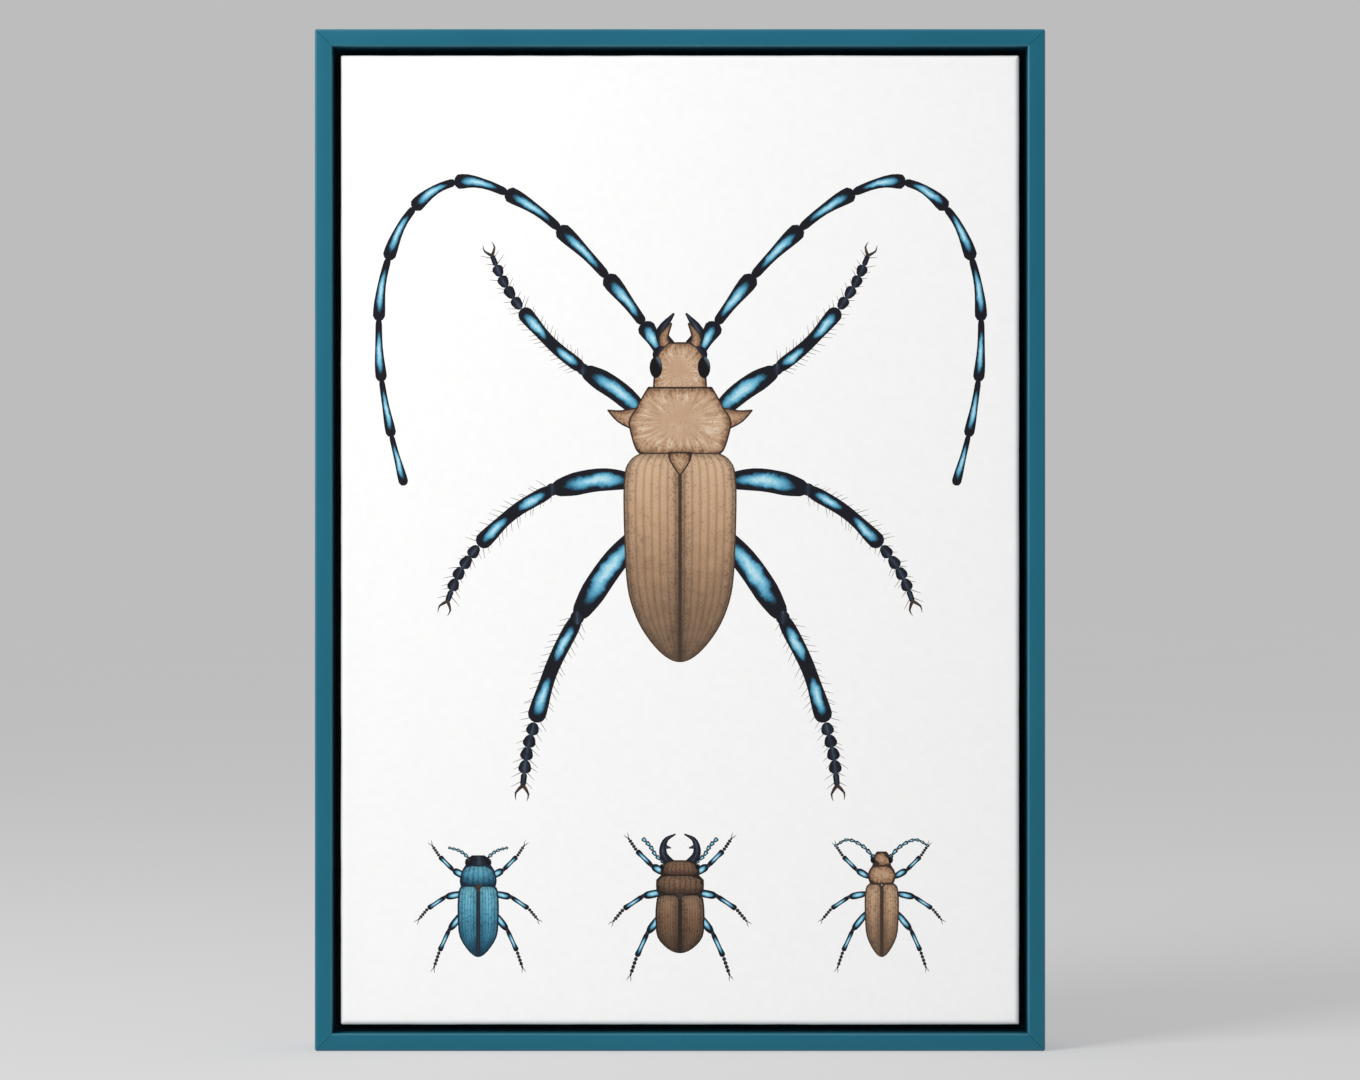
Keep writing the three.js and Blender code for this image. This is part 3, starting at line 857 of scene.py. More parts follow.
def finished_copy(node, finish, shape=None, edge=0.0):
    """A copy of a solid with merged points, soft edges and its own finish, in the solid's place."""
    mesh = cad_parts[node].data.copy()
    mesh.materials.clear()
    solid = bmesh.new()
    solid.from_mesh(mesh)
    bmesh.ops.remove_doubles(solid, verts=solid.verts, dist=MERGE_DISTANCE)
    flat = math.radians(FLAT_ANGLE)
    bmesh.ops.dissolve_limit(solid, angle_limit=flat, verts=solid.verts, edges=solid.edges)
    if shape:
        shape(solid)
    solid.to_mesh(mesh)
    solid.free()
    piece = new_piece(node + "_finished", mesh, finish)
    if edge:
        bevel = piece.modifiers.new("soft edges", "BEVEL")
        bevel.width = edge
        bevel.segments = 2
        bevel.limit_method = "ANGLE"
        bevel.angle_limit = math.radians(BEVEL_ANGLE)
        mesh = plain_mesh(piece)
    smooth_by_angle(mesh, SHARP_ANGLE)
    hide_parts(node)
    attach(piece, BODY)


# ---------------------------------------------------------------- frame, bars and small solids

FRAME_CORNER_RADIUS = 1.5 * MM
CORNER_CUTS = (22.5, 45.0, 67.5)
MITRE_CLOSING = 0.12 * MM
BAR_MITRE_CLOSING = 0.08 * MM
MITRE_REACH = 45 * MM
HANGER_EDGE = 0.12 * MM


def closed_mitres(side, amount, corner_radius=0.0):
    """Brings a side's mitred ends a little nearer to its neighbours' ends, and rounds its corners."""
    axis = 0 if side in LEVEL_SIDES else 2
    middle = MIDDLE[axis]

    def shape(solid):
        if corner_radius:
            round_corners(solid, corner_radius)
        reach = max(abs(v.co[axis] - middle) for v in solid.verts)
        for vert in solid.verts:
            along = vert.co[axis] - middle
            if abs(along) > reach - MITRE_REACH:
                vert.co[axis] += math.copysign(amount, along)
    return shape


def round_corners(solid, radius):
    """Sands the frame's four outer corners round, with three flat cuts each."""
    for sx in (-1, 1):
        for sz in (-1, 1):
            corner = MIDDLE + Vector((sx * FRAME_HALF_WIDTH, 0, sz * FRAME_HALF_HEIGHT)) * MM
            centre = corner - Vector((sx, 0, sz)) * radius
            for angle in map(math.radians, CORNER_CUTS):
                way = Vector((sx * math.cos(angle), 0, sz * math.sin(angle)))
                parts = solid.verts[:] + solid.edges[:] + solid.faces[:]
                bmesh.ops.bisect_plane(solid, geom=parts, plane_co=centre + way * radius, plane_no=way,
                                       clear_outer=True)
                open_edges = [edge for edge in solid.edges if edge.is_boundary]
                bmesh.ops.holes_fill(solid, edges=open_edges)


def make_frame_and_bars():
    for side in SIDES:
        finished_copy("frame_rail_" + side, lacquer_finish(side),
                      shape=closed_mitres(side, MITRE_CLOSING, FRAME_CORNER_RADIUS))
        finished_copy("stretcher_bar_" + side, pine_finish(side),
                      shape=closed_mitres(side, BAR_MITRE_CLOSING))


def make_hanger_and_bumpers():
    steel = metal_finish("Zinc-plated hanger steel", srgb(194, 192, 187), srgb(174, 172, 167), 0.36,
                         brushed=(0.05, 1.0, 1.0))
    rubber = rubber_finish()
    finished_copy("sawtooth_hanger", steel, edge=HANGER_EDGE)
    for place in ("left", "right"):
        finished_copy("hanger_nail_" + place, steel)
        finished_copy("wall_bumper_" + place, rubber)


# ---------------------------------------------------------------- canvas

CANVAS_SHARP_ANGLE = 50
FRONT_COLUMNS = 34
FRONT_ROWS = 50
BORDER_STRIP = 1.2
SAME_POINT = 1e-5
CORNER_RADIUS = 0.9
CORNER_TURNS = (0, 30, 60, 90)
EDGE_TURNS = (22.5, 45.0, 67.5, 90.0)
FLAP_ROWS = 9
CUT_EDGE_WANDER = 0.5
SIDE_LUMPS = 0.18
FLAP_LUMPS = 0.1
LEDGE_COVER = 18.0
LEDGE_STEP = 2.5
FOLD_LIFT = 1.2
FOLD_RUN = 24.0
UNDER_FLAP_DROP = 0.28
UNDER_FLAP_RUN = 30.0


def grid_lines(half, count):
    """Even lines from edge to edge, with one more just inside each edge."""
    inner = half - BORDER_STRIP
    lines = [-inner + 2 * inner * k / count for k in range(count + 1)]
    return [-half] + lines + [half]


def cut_front(plate, half_width, half_height):
    """Cuts the flat front along every printed outline, with Delaunay triangles between them."""
    xs = grid_lines(half_width, FRONT_COLUMNS)
    zs = grid_lines(half_height, FRONT_ROWS)
    points = [Vector((x, z)) for z in zs for x in xs]
    wide = len(xs)
    edges = [(r * wide + c, r * wide + c + 1) for r in range(len(zs)) for c in range(wide - 1)]
    edges += [(r * wide + c, (r + 1) * wide + c) for r in range(len(zs) - 1) for c in range(wide)]
    first = len(points)
    lines = {tuple(sorted(pair)) for a, b, c in plate.triangles for pair in ((a, b), (b, c), (c, a))}
    edges += [(first + a, first + b) for a, b in sorted(lines)]
    cut = delaunay_2d_cdt(points + plate.points, edges, [], 0, SAME_POINT)
    verts, _, triangles, from_verts, _, _ = cut
    border_ids = list(range(wide))
    border_ids += [r * wide + wide - 1 for r in range(1, len(zs))]
    border_ids += [(len(zs) - 1) * wide + c for c in range(wide - 2, -1, -1)]
    border_ids += [r * wide for r in range(len(zs) - 2, 0, -1)]
    place = {}
    for index, origins in enumerate(from_verts):
        for origin in origins:
            place[origin] = index
    border = [place[k] for k in border_ids]
    bins = binned_triangles(plate)
    tops = [topmost_at(plate, bins, sum((verts[k] for k in t), Vector((0, 0))) / 3) for t in triangles]
    return verts, triangles, tops, border


BIN = 4.0
NO_AREA = 1e-7
ON_EDGE = 1e-6


def binned_triangles(plate):
    """The printed triangles that reach into each small square, in the order they were drawn."""
    bins = {}
    for index, triangle in enumerate(plate.triangles):
        corners = [plate.points[k] for k in triangle]
        if abs((corners[1] - corners[0]).cross(corners[2] - corners[0])) < NO_AREA:
            continue
        low = [math.floor(min(p[k] for p in corners) / BIN) for k in (0, 1)]
        high = [math.floor(max(p[k] for p in corners) / BIN) for k in (0, 1)]
        for column in range(low[0], high[0] + 1):
            for row in range(low[1], high[1] + 1):
                bins.setdefault((column, row), []).append(index)
    return bins


def shares_at(plate, index, point):
    """How near a point is to each corner of a printed triangle, in shares of one."""
    a, b, c = (plate.points[k] for k in plate.triangles[index])
    whole = (b - a).cross(c - a)
    first = (b - point).cross(c - point) / whole
    second = (c - point).cross(a - point) / whole
    return first, second, 1 - first - second


def topmost_at(plate, bins, point):
    """The last drawn triangle that covers a point, or None on bare canvas."""
    key = (math.floor(point.x / BIN), math.floor(point.y / BIN))
    for index in reversed(bins.get(key, ())):
        if min(shares_at(plate, index, point)) > -ON_EDGE:
            return index
    return None


def fill_at(plate, top, point):
    """Where a point lies in the shape of a printed triangle: along, across, and from its edge."""
    weights = shares_at(plate, top, point)
    fills = plate.fills[top]
    return [sum(w * fill[k] for w, fill in zip(weights, fills)) for k in range(3)]


def wrap_columns(border, verts, half_width, half_height):
    """The border in order, as (side, point, outward direction), with extra ones at each corner."""
    normals = [Vector((0, -1)), Vector((1, 0)), Vector((0, 1)), Vector((-1, 0))]
    corners = [(-1, -1), (1, -1), (1, 1), (-1, 1)]
    corner_at = []
    for sx, sz in corners:
        target = Vector((sx * half_width, sz * half_height))
        corner_at.append(min(range(len(border)), key=lambda k: (verts[border[k]] - target).length))
    share = CORNER_RADIUS / CANVAS_EDGE_RADIUS
    columns = []
    for side in range(4):
        start = corner_at[side]
        stop = corner_at[(side + 1) % 4] or len(border)
        normal, following = normals[side], normals[(side + 1) % 4]
        for k in range(start, stop + 1):
            columns.append((side, border[k % len(border)], normal))
        for angle in map(math.radians, CORNER_TURNS):
            way = normal * (1 - share + share * math.cos(angle))
            way = way + following * (1 - share + share * math.sin(angle))
            columns.append((None, border[stop % len(border)], way))
    return columns


def wrap_profile():
    """Outward reach and depth of each row, from the front's edge round to the back's."""
    radius = CANVAS_EDGE_RADIUS
    turns = map(math.radians, EDGE_TURNS)
    rows = [(radius * math.sin(a), CANVAS_FRONT + radius * (1 - math.cos(a))) for a in turns]
    side_top, side_bottom = CANVAS_FRONT + radius, CANVAS_BACK - radius
    rows += [(radius, side_top + (side_bottom - side_top) * k / 4) for k in range(1, 4)]
    rows += [(reach, CANVAS_BACK - (depth - CANVAS_FRONT)) for reach, depth in rows[3::-1]]
    return rows


def stretched_canvas_mesh(plate):
    """The sheet's outer face: printed front, wrapped sides and the flaps turned in behind."""
    half_width = CANVAS_HALF_WIDTH - CANVAS_EDGE_RADIUS
    half_height = CANVAS_HALF_HEIGHT - CANVAS_EDGE_RADIUS
    verts, triangles, tops, border = cut_front(plate, half_width, half_height)
    sheet = bmesh.new()
    figure = sheet.loops.layers.uv.new("figure")
    edge = sheet.loops.layers.uv.new("edge")

    def vertex(x, depth, z):
        return sheet.verts.new(Vector((x, depth, z)) * MM + MIDDLE)

    front = [vertex(v.x, CANVAS_FRONT, v.y) for v in verts]
    for triangle, top in zip(triangles, tops):
        face = sheet.faces.new([front[k] for k in triangle])
        if top is None:
            continue
        face.material_index = plate.ink[top]
        for loop, k in zip(face.loops, triangle):
            along, side, from_edge = fill_at(plate, top, verts[k])
            loop[figure].uv = (along, side)
            loop[edge].uv = (from_edge, 0.0)

    columns = wrap_columns(border, verts, half_width, half_height)
    rings = [[front[k] for _, k, _ in columns]]
    for reach, depth in wrap_profile():
        ring = []
        for _, k, way in columns:
            base = verts[k]
            lump = SIDE_LUMPS * noise.noise(Vector((base.x, depth * 2, base.y)) * 0.06)
            sag = lump * min(1, reach / CANVAS_EDGE_RADIUS)
            ring.append(vertex(base.x + way.x * (reach - sag), depth, base.y + way.y * (reach - sag)))
        rings.append(ring)
    back = {k: vertex(verts[k].x, CANVAS_BACK, verts[k].y) for _, k, _ in columns}
    rings.append([back[k] for _, k, _ in columns])
    for ring, following in zip(rings, rings[1:]):
        for j in range(len(columns)):
            k = (j + 1) % len(columns)
            add_face(sheet, ring[j], following[j], following[k], ring[k])

    flaps = []
    for side in range(4):
        members = [k for s, k, _ in columns if s == side]
        flaps.append(flap_rows(vertex, back, verts, members, side, half_width, half_height))
    for side, flap in enumerate(flaps):
        neighbour = flaps[(side + 1) % 4]
        for row, following in zip(flap, flap[1:]):
            for j in range(len(row) - 1):
                add_face(sheet, row[j], following[j], following[j + 1], row[j + 1])
        for i in range(FLAP_ROWS):
            add_face(sheet, flap[i][-1], flap[i + 1][-1], neighbour[i + 1][0], neighbour[i][0])
    mesh = bpy.data.meshes.new("canvas sheet")
    sheet.to_mesh(mesh)
    sheet.free()
    return mesh


def add_face(sheet, *corners):
    """A face through the corners that differ."""
    distinct = []
    for corner in corners:
        if corner not in distinct:
            distinct.append(corner)
    if len(distinct) > 2:
        sheet.faces.new(distinct)


def eased(share):
    """A smooth step from 0 to 1."""
    share = min(max(share, 0.0), 1.0)
    return share * share * (3 - 2 * share)


def flap_rows(vertex, back, verts, members, side, half_width, half_height):
    """A flap behind the bars. Those of the top and bottom tuck under the others at the corners."""
    rows = [[back[k] for k in members]]
    upright = side in (1, 3)
    for i in range(1, FLAP_ROWS + 1):
        inset = (CANVAS_FLAP - CANVAS_EDGE_RADIUS) * i / FLAP_ROWS
        row = []
        for k in members:
            base = verts[k]
            reach = inset
            if i == FLAP_ROWS:
                reach += CUT_EDGE_WANDER * noise.noise(Vector((base.x, base.y, 3.0)) * 0.35)
            x = base.x * (half_width - reach) / half_width
            z = base.y * (half_height - reach) / half_height
            depth = CANVAS_BACK + FLAP_LUMPS * noise.noise(Vector((x, z, 7.0)) * 0.05)
            bare = eased((reach - LEDGE_COVER) / LEDGE_STEP)
            if upright:
                folded = eased(1 - (half_height - abs(base.y)) / FOLD_RUN)
                depth += FOLD_LIFT * folded * bare
            else:
                tucked = eased(1 - (half_width - abs(base.x)) / UNDER_FLAP_RUN)
                depth -= UNDER_FLAP_DROP * tucked
            row.append(vertex(x, depth, z))
        rows.append(row)
    return rows


# Where each part of the sheet lies in the bake map: left, bottom, and map units for a millimetre
BAKE_FRONT = (0.006, 0.006, 0.00192)
BAKE_MARGIN = 0.5
BAKE_BACK_SCALE = 0.00054
BAKE_PLACES = {
    ("outer", "+y"): (0.70, 0.01),
    ("inner", "+y"): (0.70, 0.34),
    ("inner", "-y"): (0.70, 0.67),
    ("outer", "-x"): (0.90, 0.01),
    ("outer", "+x"): (0.92, 0.01),
    ("inner", "-x"): (0.94, 0.01),
    ("inner", "+x"): (0.96, 0.01),
    ("outer", "-z"): (0.90, 0.34),
    ("outer", "+z"): (0.92, 0.34),
    ("inner", "-z"): (0.94, 0.34),
    ("inner", "+z"): (0.96, 0.34),
}


def lay_out_bake(mesh):
    """Lays the sheet out flat for baking, with the printed front as large as it goes."""
    layer = mesh.uv_layers.new(name="OFBake")
    half_width = CANVAS_HALF_WIDTH + BAKE_MARGIN
    half_height = CANVAS_HALF_HEIGHT + BAKE_MARGIN
    low = MIDDLE / MM - Vector((half_width, 0, half_height))
    for polygon in mesh.polygons:
        normal = polygon.normal
        axis = max(range(3), key=lambda k: abs(normal[k]))
        sign = "-" if normal[axis] < 0 else "+"
        layer_name = "inner" if polygon.material_index == RAW else "outer"
        key = (layer_name, sign + "xyz"[axis])
        if key == ("outer", "-y"):
            left, bottom, scale = BAKE_FRONT
        else:
            (left, bottom), scale = BAKE_PLACES[key], BAKE_BACK_SCALE
        for loop_index in polygon.loop_indices:
            place = mesh.vertices[mesh.loops[loop_index].vertex_index].co / MM - low
            depth = place.y - CANVAS_FRONT + BAKE_MARGIN
            flat = {0: (depth, place.z), 1: (place.x, place.z), 2: (depth, place.x)}[axis]
            layer.data[loop_index].uv = (left + flat[0] * scale, bottom + flat[1] * scale)


def make_canvas():
    mesh = stretched_canvas_mesh(printed_plate())
    canvas = new_piece("printed_canvas_sheet", mesh, *canvas_finishes())
    thickness = canvas.modifiers.new("sheet thickness", "SOLIDIFY")
    thickness.thickness = CANVAS_SHEET * MM
    thickness.offset = -1
    thickness.material_offset = RAW
    thickness.material_offset_rim = RAW
    mesh = plain_mesh(canvas)
    smooth_by_angle(mesh, CANVAS_SHARP_ANGLE)
    lay_out_bake(mesh)
    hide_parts("canvas")
    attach(canvas, BODY)


# ---------------------------------------------------------------- fasteners by Geometry Nodes

FASTENER_SHARP_ANGLE = 35


class Recipe(Nodes):
    """A Geometry Nodes tree with named sizes, whose result is real mesh in one finish."""

    def __init__(self, name, **sizes):
        super().__init__(bpy.data.node_groups.new(name, "GeometryNodeTree"))
        face = self.tree.interface
        face.new_socket("Places", in_out="INPUT", socket_type="NodeSocketGeometry")
        for key, value in sizes.items():
            kind = "NodeSocketInt" if isinstance(value, int) else "NodeSocketFloat"
            face.new_socket(key, in_out="INPUT", socket_type=kind)
        face.new_socket("Made", in_out="OUTPUT", socket_type="NodeSocketGeometry")
        self.sizes = sizes
        self.places = Value(self, self.tree.nodes.new("NodeGroupInput").outputs["Places"])

    def size(self, name):
        return self.places.also(name)

    def between(self, low, high, seed):
        """A random number between two, another at each point."""
        feeds = {2: low, 3: high, "Seed": seed}
        return self.add("FunctionNodeRandomValue", feeds, gives=1, data_type="FLOAT")

    def moved(self, geometry, **feeds):
        return self.add("GeometryNodeTransform", {"Geometry": geometry, **feeds})

    def round_section(self, radius):
        """A three-sided section, as fine as these threads need."""
        return self.add("GeometryNodeCurvePrimitiveCircle", {"Resolution": 3, "Radius": radius})

    def flat_section(self, width, height):
        return self.add("GeometryNodeCurvePrimitiveQuadrilateral", {"Width": width, "Height": height})

    def swept(self, curve, section):
        feeds = {"Curve": curve, "Profile Curve": section, "Fill Caps": True}
        return self.add("GeometryNodeCurveToMesh", feeds)

    def copies(self, points, one, rotation, **feeds):
        feeds = {"Points": points, "Instance": one, "Rotation": rotation, **feeds}
        return self.add("GeometryNodeInstanceOnPoints", feeds)

    def own_turn(self):
        """The turn about Y that a place carries."""
        turn = self.add("GeometryNodeInputNamedAttribute", {"Name": "turn"}, data_type="FLOAT")
        return self.vector(y=turn)

    def made(self, name, places, geometry, finish):
        """Ends the tree, runs it on a mesh of places, and returns a plain piece."""
        real = self.add("GeometryNodeRealizeInstances", {"Geometry": geometry})
        coloured = self.add("GeometryNodeSetMaterial", {"Geometry": real, "Material": finish})
        self.feed(self.tree.nodes.new("NodeGroupOutput").inputs[0], coloured)
        piece = new_piece(name, places)
        modifier = piece.modifiers.new("recipe", "NODES")
        modifier.node_group = self.tree
        for item in self.tree.interface.items_tree:
            if item.in_out == "INPUT" and item.name in self.sizes:
                modifier[item.identifier] = self.sizes[item.name]
        plain_mesh(piece)
        smooth_by_angle(piece.data, FASTENER_SHARP_ANGLE)
        return piece


def mesh_of_places(name, places, turns):
    """Points with a turn about Y each, in radians."""
    mesh = bpy.data.meshes.new(name)
    mesh.from_pydata([tuple(place) for place in places], [], [])
    turn = mesh.attributes.new("turn", "FLOAT", "POINT")
    turn.data.foreach_set("value", turns)
    return mesh


def mesh_of_runs(name, runs):
    """Separate straight runs, each from one point to another."""
    mesh = bpy.data.meshes.new(name)
    points = [tuple(point) for run in runs for point in run]
    mesh.from_pydata(points, [(2 * k, 2 * k + 1) for k in range(len(runs))], [])
    return mesh


SCREW_TIP = 3.2 * MM
SCREW_POINT_RADIUS = 0.05 * MM
CROSSBAR_DEPTH_SHARE = 0.93
THREAD_RUN_OUT = 1.5 * MM
THREAD_END = SCREW_TIP + 0.4 * MM
FIRST_SCREW_TURN = 0.3
NEXT_SCREW_TURN = 0.7


def make_screws():
    """Countersunk screws with a cross recess and a rolled thread, sunk in the frame's ledge."""
    nodes = [name for name in sorted(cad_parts) if name.startswith("frame_screw_")]
    places, turns = [], []
    for k, name in enumerate(nodes):
        low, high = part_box(name)
        places.append(((low.x + high.x) / 2, high.y, (low.z + high.z) / 2))
        turns.append(FIRST_SCREW_TURN + NEXT_SCREW_TURN * k)
    recipe = Recipe("countersunk screws", **{
        "Head Radius": 3.6 * MM,
        "Head Height": 2.2 * MM,
        "Core Radius": 1.25 * MM,
        "Length": 18.0 * MM,
        "Thread Turns": 8.5,
        "Thread Radius": 0.42 * MM,
        "Recess Width": 0.85 * MM,
        "Recess Length": 3.5 * MM,
        "Recess Depth": 1.2 * MM,
    })
    size = recipe.size
    core_radius, length = size("Core Radius"), size("Length")
    head = recipe.add("GeometryNodeMeshCone", {
        "Vertices": 40, "Radius Top": size("Head Radius"), "Radius Bottom": core_radius,
        "Depth": size("Head Height")})
    head = recipe.moved(head, Translation=recipe.vector(z=-size("Head Height")))
    wide, narrow, deep = size("Recess Length"), size("Recess Width"), size("Recess Depth") * 2.0
    for slot in ((wide, narrow, deep), (narrow, wide, deep * CROSSBAR_DEPTH_SHARE)):
        bar = recipe.add("GeometryNodeMeshCube", {"Size": recipe.vector(*slot)})
        head = recipe.add("GeometryNodeMeshBoolean", {"Mesh 1": head, "Mesh 2": bar}, operation="DIFFERENCE")

    straight = length - (size("Head Height") + SCREW_TIP)
    core = recipe.add("GeometryNodeMeshCylinder", {"Vertices": 20, "Radius": core_radius, "Depth": straight})
    core = recipe.moved(core, Translation=recipe.vector(z=-(size("Head Height") + straight * 0.5)))
    point = recipe.add("GeometryNodeMeshCone", {
        "Vertices": 20, "Radius Top": core_radius, "Radius Bottom": SCREW_POINT_RADIUS, "Depth": SCREW_TIP})
    point = recipe.moved(point, Translation=recipe.vector(z=-length))
    spiral = recipe.add("GeometryNodeCurveSpiral", {
        "Resolution": 18, "Rotations": size("Thread Turns"), "Start Radius": core_radius,
        "End Radius": core_radius, "Height": straight - THREAD_RUN_OUT})
    thread = recipe.swept(spiral, recipe.round_section(size("Thread Radius")))
    thread = recipe.moved(thread, Translation=recipe.vector(z=THREAD_END - length))
    whole = recipe.add("GeometryNodeJoinGeometry", {"Geometry": [head, core, point, thread]})
    whole = recipe.moved(whole, Rotation=(-math.pi / 2, 0, 0))
    turned = recipe.copies(recipe.places, whole, recipe.own_turn())

    zinc = metal_finish("Bright zinc-plated screw", srgb(214, 208, 190), srgb(176, 170, 150), 0.3)
    screws = recipe.made("frame_screws", mesh_of_places("screw places", places, turns), turned, zinc)
    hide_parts(*nodes)
    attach(screws, BODY)


STAPLE_INSET = 25.5
STAPLE_CORNER_INSET = 37.0
LEVEL_STAPLE_REACH = 118.0 * MM
UPRIGHT_STAPLE_REACH = 190.0 * MM
STAPLE_DEPTH = (CANVAS_BACK + 0.2) * MM
CORNER_STAPLE_DEPTH = STAPLE_DEPTH + 0.45 * MM
CORNER_RUN = 8.0


def staple_runs():
    """The rows of staples: one along each flap, and a short one across each folded corner."""
    inset_x = (CANVAS_HALF_WIDTH - STAPLE_INSET) * MM
    inset_z = (CANVAS_HALF_HEIGHT - STAPLE_INSET) * MM
    corner_z = (CANVAS_HALF_HEIGHT - STAPLE_CORNER_INSET) * MM
    runs = []
    for way in (-1, 1):
        runs.append([MIDDLE + Vector((end * LEVEL_STAPLE_REACH, STAPLE_DEPTH, way * inset_z))
                     for end in (-1, 1)])
        runs.append([MIDDLE + Vector((way * inset_x, STAPLE_DEPTH, end * UPRIGHT_STAPLE_REACH))
                     for end in (-1, 1)])
        for up in (-1, 1):
            corner = MIDDLE + Vector((way * inset_x, CORNER_STAPLE_DEPTH, up * corner_z))
            runs.append([corner, corner + Vector((way * CORNER_RUN, 0, up * CORNER_RUN)) * MM])
    return runs


def make_staples():
    """Wire staples along the turned-in flaps, each a little off its line."""
    recipe = Recipe("canvas staples", **{
        "Spacing": 41.0 * MM,
        "Crown": 9.6 * MM,
        "Leg": 6.0 * MM,
        "Wire Width": 1.15 * MM,
        "Wire Height": 0.5 * MM,
        "Bend Radius": 0.7 * MM,
        "Wander": 1.1 * MM,
        "Tilt": 0.16,
        "Seed": 7,
    })
    size = recipe.size
    line = recipe.add("GeometryNodeMeshLine", {"Count": 4})
    centred = recipe.add("GeometryNodeInputIndex") - 1.5
    x = centred.sign() * (size("Crown") * 0.5)
    y = abs(centred).above(1.0) * -size("Leg")
    bent = recipe.add("GeometryNodeSetPosition", {"Geometry": line, "Position": recipe.vector(x, y)})
    wire = recipe.add("GeometryNodeMeshToCurve", {"Mesh": bent})
    bends = {"Curve": wire, "Radius": size("Bend Radius"), "Count": 4, "Limit Radius": True}
    wire = recipe.add("GeometryNodeFilletCurve", bends, mode="POLY")
    staple = recipe.swept(wire, recipe.flat_section(size("Wire Height"), size("Wire Width")))

    path = recipe.add("GeometryNodeMeshToCurve", {"Mesh": recipe.places})
    spaced = {"Curve": path, "Length": size("Spacing")}
    points = recipe.add("GeometryNodeCurveToPoints", spaced, gives="Points", mode="LENGTH")
    limit = -size("Wander")
    low, high = recipe.vector(limit, 0.0, limit), recipe.vector(size("Wander"), 0.0, size("Wander"))
    wander = recipe.add("FunctionNodeRandomValue", {0: low, 1: high, "Seed": size("Seed")},
                        data_type="FLOAT_VECTOR")
    strayed = recipe.add("GeometryNodeSetPosition", {"Geometry": points, "Offset": wander})
    aligned = recipe.add("FunctionNodeAlignRotationToVector", {"Vector": points.also("Tangent")},
                         axis="X", pivot_axis="Y")
    tilt = recipe.between(-size("Tilt"), size("Tilt"), size("Seed") + 5.0)
    twist = recipe.add("FunctionNodeEulerToRotation", {0: recipe.vector(y=tilt)})
    rotation = recipe.add("FunctionNodeRotateRotation", {0: aligned, 1: twist}, rotation_space="LOCAL")
    laid = recipe.copies(strayed, staple, rotation)

    wire_finish = metal_finish("Galvanised staple wire", srgb(196, 194, 188), srgb(160, 158, 152), 0.34)
    staples = recipe.made("canvas_staples", mesh_of_runs("staple runs", staple_runs()), laid, wire_finish)
    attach(staples, BODY)


THREAD_SEED = 23
THREADS_A_SIDE = 16
THREAD_DEPTH = (CANVAS_BACK - 0.3) * MM
THREAD_SWING = 0.5
LEVEL_THREADS_REACH = 0.93
UPRIGHT_THREADS_REACH = 0.95
FULL_THREAD = 6.0 * MM


def make_loose_threads():
    """Short cotton threads that stick out of the flaps' cut edges."""
    chance = random.Random(THREAD_SEED)
    places, turns = [], []
    reach_x, reach_z = (CANVAS_HALF_WIDTH - CANVAS_FLAP) * MM, (CANVAS_HALF_HEIGHT - CANVAS_FLAP) * MM
    for way in (-1, 1):
        for _ in range(THREADS_A_SIDE):
            along = chance.uniform(-LEVEL_THREADS_REACH, LEVEL_THREADS_REACH)
            places.append(MIDDLE + Vector((along * reach_x, THREAD_DEPTH, way * reach_z)))
            turns.append(chance.uniform(-THREAD_SWING, THREAD_SWING) + (math.pi if way > 0 else 0.0))
            along = chance.uniform(-UPRIGHT_THREADS_REACH, UPRIGHT_THREADS_REACH)
            places.append(MIDDLE + Vector((way * reach_x, THREAD_DEPTH, along * reach_z)))
            turns.append(chance.uniform(-THREAD_SWING, THREAD_SWING) - way * math.pi / 2)
    recipe = Recipe("loose threads", **{
        "Shortest": 1.6 * MM,
        "Longest": 5.5 * MM,
        "Thread Radius": 0.14 * MM,
        "Curl": 1.3 * MM,
        "Seed": 11,
    })
    size = recipe.size
    arc = recipe.add("GeometryNodeCurveQuadraticBezier", {
        "Resolution": 5, "Start": (0, 0, -1.0 * MM), "Middle": recipe.vector(x=size("Curl"), z=2.5 * MM),
        "End": recipe.vector(y=0.4 * MM, z=FULL_THREAD)})
    thread = recipe.swept(arc, recipe.round_section(size("Thread Radius")))
    stretch = recipe.between(size("Shortest") / FULL_THREAD, size("Longest") / FULL_THREAD, size("Seed"))
    laid = recipe.copies(recipe.places, thread, recipe.own_turn(), Scale=recipe.vector(1.0, 1.0, stretch))
    cloth = Cloth("Loose cotton thread", roughness=0.95)
    cotton = cloth.coloured(cloth.ramp(cloth.slub, [(0.3, srgb(214, 203, 180)), (0.7, srgb(233, 225, 206))]))
    threads = recipe.made("canvas_threads", mesh_of_places("thread places", places, turns), laid, cotton)
    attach(threads, BODY)


FASTENER_INSETS = (10.5, 21.5)
FASTENER_DEPTH = (FRAME_BACK + 0.12) * MM


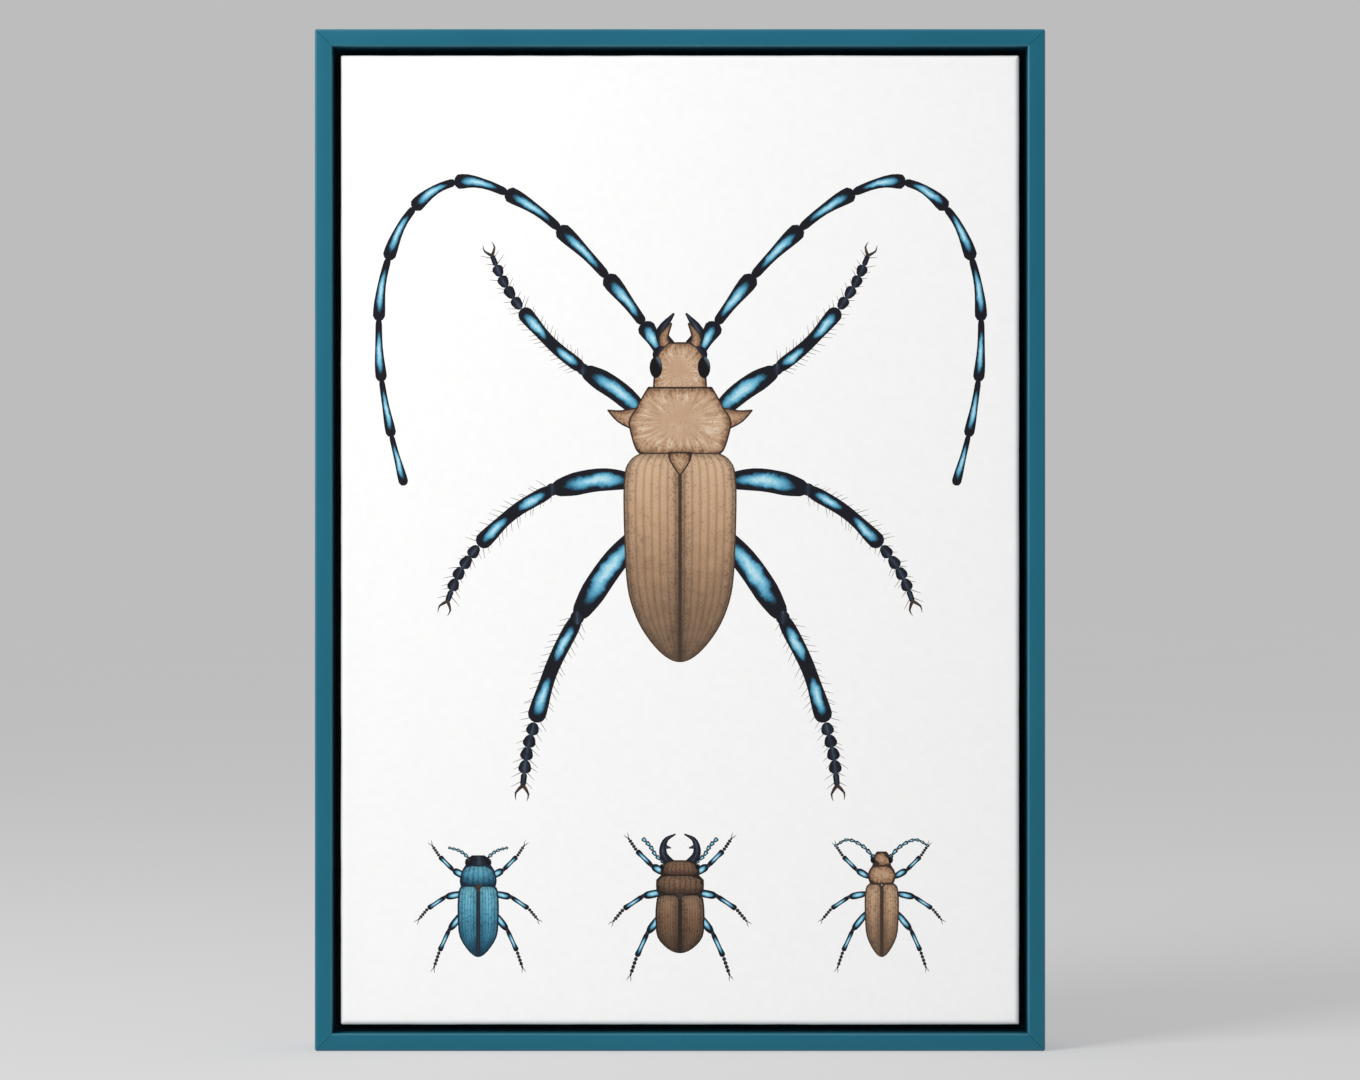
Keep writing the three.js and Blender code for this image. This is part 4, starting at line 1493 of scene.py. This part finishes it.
def make_mitre_fasteners():
    """Corrugated steel fasteners driven flush across the frame's four mitres, from behind."""
    places, turns = [], []
    for sx in (-1, 1):
        for sz in (-1, 1):
            for inset in FASTENER_INSETS:
                x = sx * (FRAME_HALF_WIDTH - inset) * MM
                z = sz * (FRAME_HALF_HEIGHT - inset) * MM
                places.append(MIDDLE + Vector((x, FASTENER_DEPTH, z)))
                turns.append(math.radians(45 * sx * sz))
    recipe = Recipe("corrugated fasteners", **{
        "Width": 11.0 * MM,
        "Wave": 0.8 * MM,
        "Waves": 3.0,
        "Depth": 5.0 * MM,
        "Sheet": 0.45 * MM,
    })
    size = recipe.size
    half = size("Width") * 0.5
    ends = {"Start": recipe.vector(-half), "End": recipe.vector(half)}
    line = recipe.add("GeometryNodeCurvePrimitiveLine", ends)
    line = recipe.add("GeometryNodeResampleCurve", {"Curve": line, "Count": 37})
    phase = recipe.add("GeometryNodeSplineParameter") * size("Waves") * (2 * math.pi)
    lift = recipe.vector(z=phase.sine() * size("Wave"))
    wavy = recipe.add("GeometryNodeSetPosition", {"Geometry": line, "Offset": lift})
    strip = recipe.swept(wavy, recipe.flat_section(size("Depth"), size("Sheet")))
    sunk = recipe.moved(strip, Translation=recipe.vector(y=size("Depth") * -0.5))
    laid = recipe.copies(recipe.places, sunk, recipe.own_turn())
    blued = metal_finish("Blued mitre fastener steel", srgb(122, 124, 128), srgb(84, 86, 90), 0.4)
    fasteners = recipe.made("mitre_fasteners", mesh_of_places("fastener places", places, turns), laid, blued)
    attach(fasteners, BODY)


# ---------------------------------------------------------------- stage, light and camera

CAMERA_DISTANCE = 1.7
VIEW_WIDTH = 0.6997
SENSOR_WIDTH = 36.0
FLOOR_REACH = 30.0
FLOOR_GAP = 0.1 * MM
FLOOR_SHARE = 0.3
FLOOR_CLOUD = 0.004
STUDIO_GREY = 0.51
KEY_OFFSET = (-1.36, -0.96, 1.155)
KEY_AIM = (0.05, 0, -0.11)
KEY_POWER = 16.5
KEY_SIZE = 0.9
KEY_SPREAD = 122


def make_floor():
    """A floor as pale as the studio round it, which still takes a soft shadow."""
    half = FLOOR_REACH
    height = frame_low.z - FLOOR_GAP
    mesh = bpy.data.meshes.new("studio floor")
    corners = [(-half, -half, height), (half, -half, height), (half, half, height), (-half, half, height)]
    mesh.from_pydata(corners, [], [(0, 1, 2, 3)])
    finish = Finish("Pale studio floor", roughness=1.0, specular=0.0)
    low, high = FLOOR_SHARE - FLOOR_CLOUD, FLOOR_SHARE + FLOOR_CLOUD
    glow = STUDIO_GREY * (1 - FLOOR_SHARE)
    finish.set("Emission Color", (glow, glow, glow * 1.01, 1.0))
    finish.set("Emission Strength", 1.0)
    cloud = [(0.3, (low, low, low, 1)), (0.7, (high, high, high, 1))]
    floor = finish.coloured(finish.ramp(finish.noise(3.0), cloud))
    new_piece("studio_floor", mesh, floor)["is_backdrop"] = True


def make_light():
    """An even pale studio and one soft key, low over the picture's face from the upper left."""
    scene = bpy.context.scene
    world = bpy.data.worlds.new("Pale studio")
    scene.world = world
    world.use_nodes = True
    sky = world.node_tree.nodes["Background"].inputs
    sky["Color"].default_value = (1.0, 1.0, 1.01, 1.0)
    sky["Strength"].default_value = STUDIO_GREY
    light = bpy.data.lights.new("key from the upper left", "AREA")
    light.energy = KEY_POWER
    light.size = KEY_SIZE
    light.spread = math.radians(KEY_SPREAD)
    lamp = new_piece("key from the upper left", light)
    lamp.location = MIDDLE + Vector(KEY_OFFSET)
    way = MIDDLE + Vector(KEY_AIM) - lamp.location
    lamp.rotation_euler = way.to_track_quat("-Z", "Y").to_euler()
    scene.view_settings.view_transform = "Standard"
    scene.view_settings.look = "None"


def make_camera():
    lens = bpy.data.cameras.new("front camera")
    lens.sensor_width = SENSOR_WIDTH
    lens.lens = SENSOR_WIDTH * CAMERA_DISTANCE / VIEW_WIDTH
    camera = new_piece("front camera", lens)
    camera.location = MIDDLE + Vector((0, FRAME_FRONT * MM - CAMERA_DISTANCE, 0))
    camera.rotation_euler = (math.radians(90), 0, 0)
    bpy.context.scene.camera = camera


def write_sizes():
    """Works out the solids' box and the finished model's box."""
    boxes = {"solids": cad_bounds, "finished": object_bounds()}
    plain = {name: [list(corner) for corner in box[:2]] for name, box in boxes.items()}


make_camera()
make_floor()
make_light()
make_frame_and_bars()
make_canvas()
make_hanger_and_bumpers()
make_screws()
make_staples()
make_loose_threads()
make_mitre_fasteners()
write_sizes()
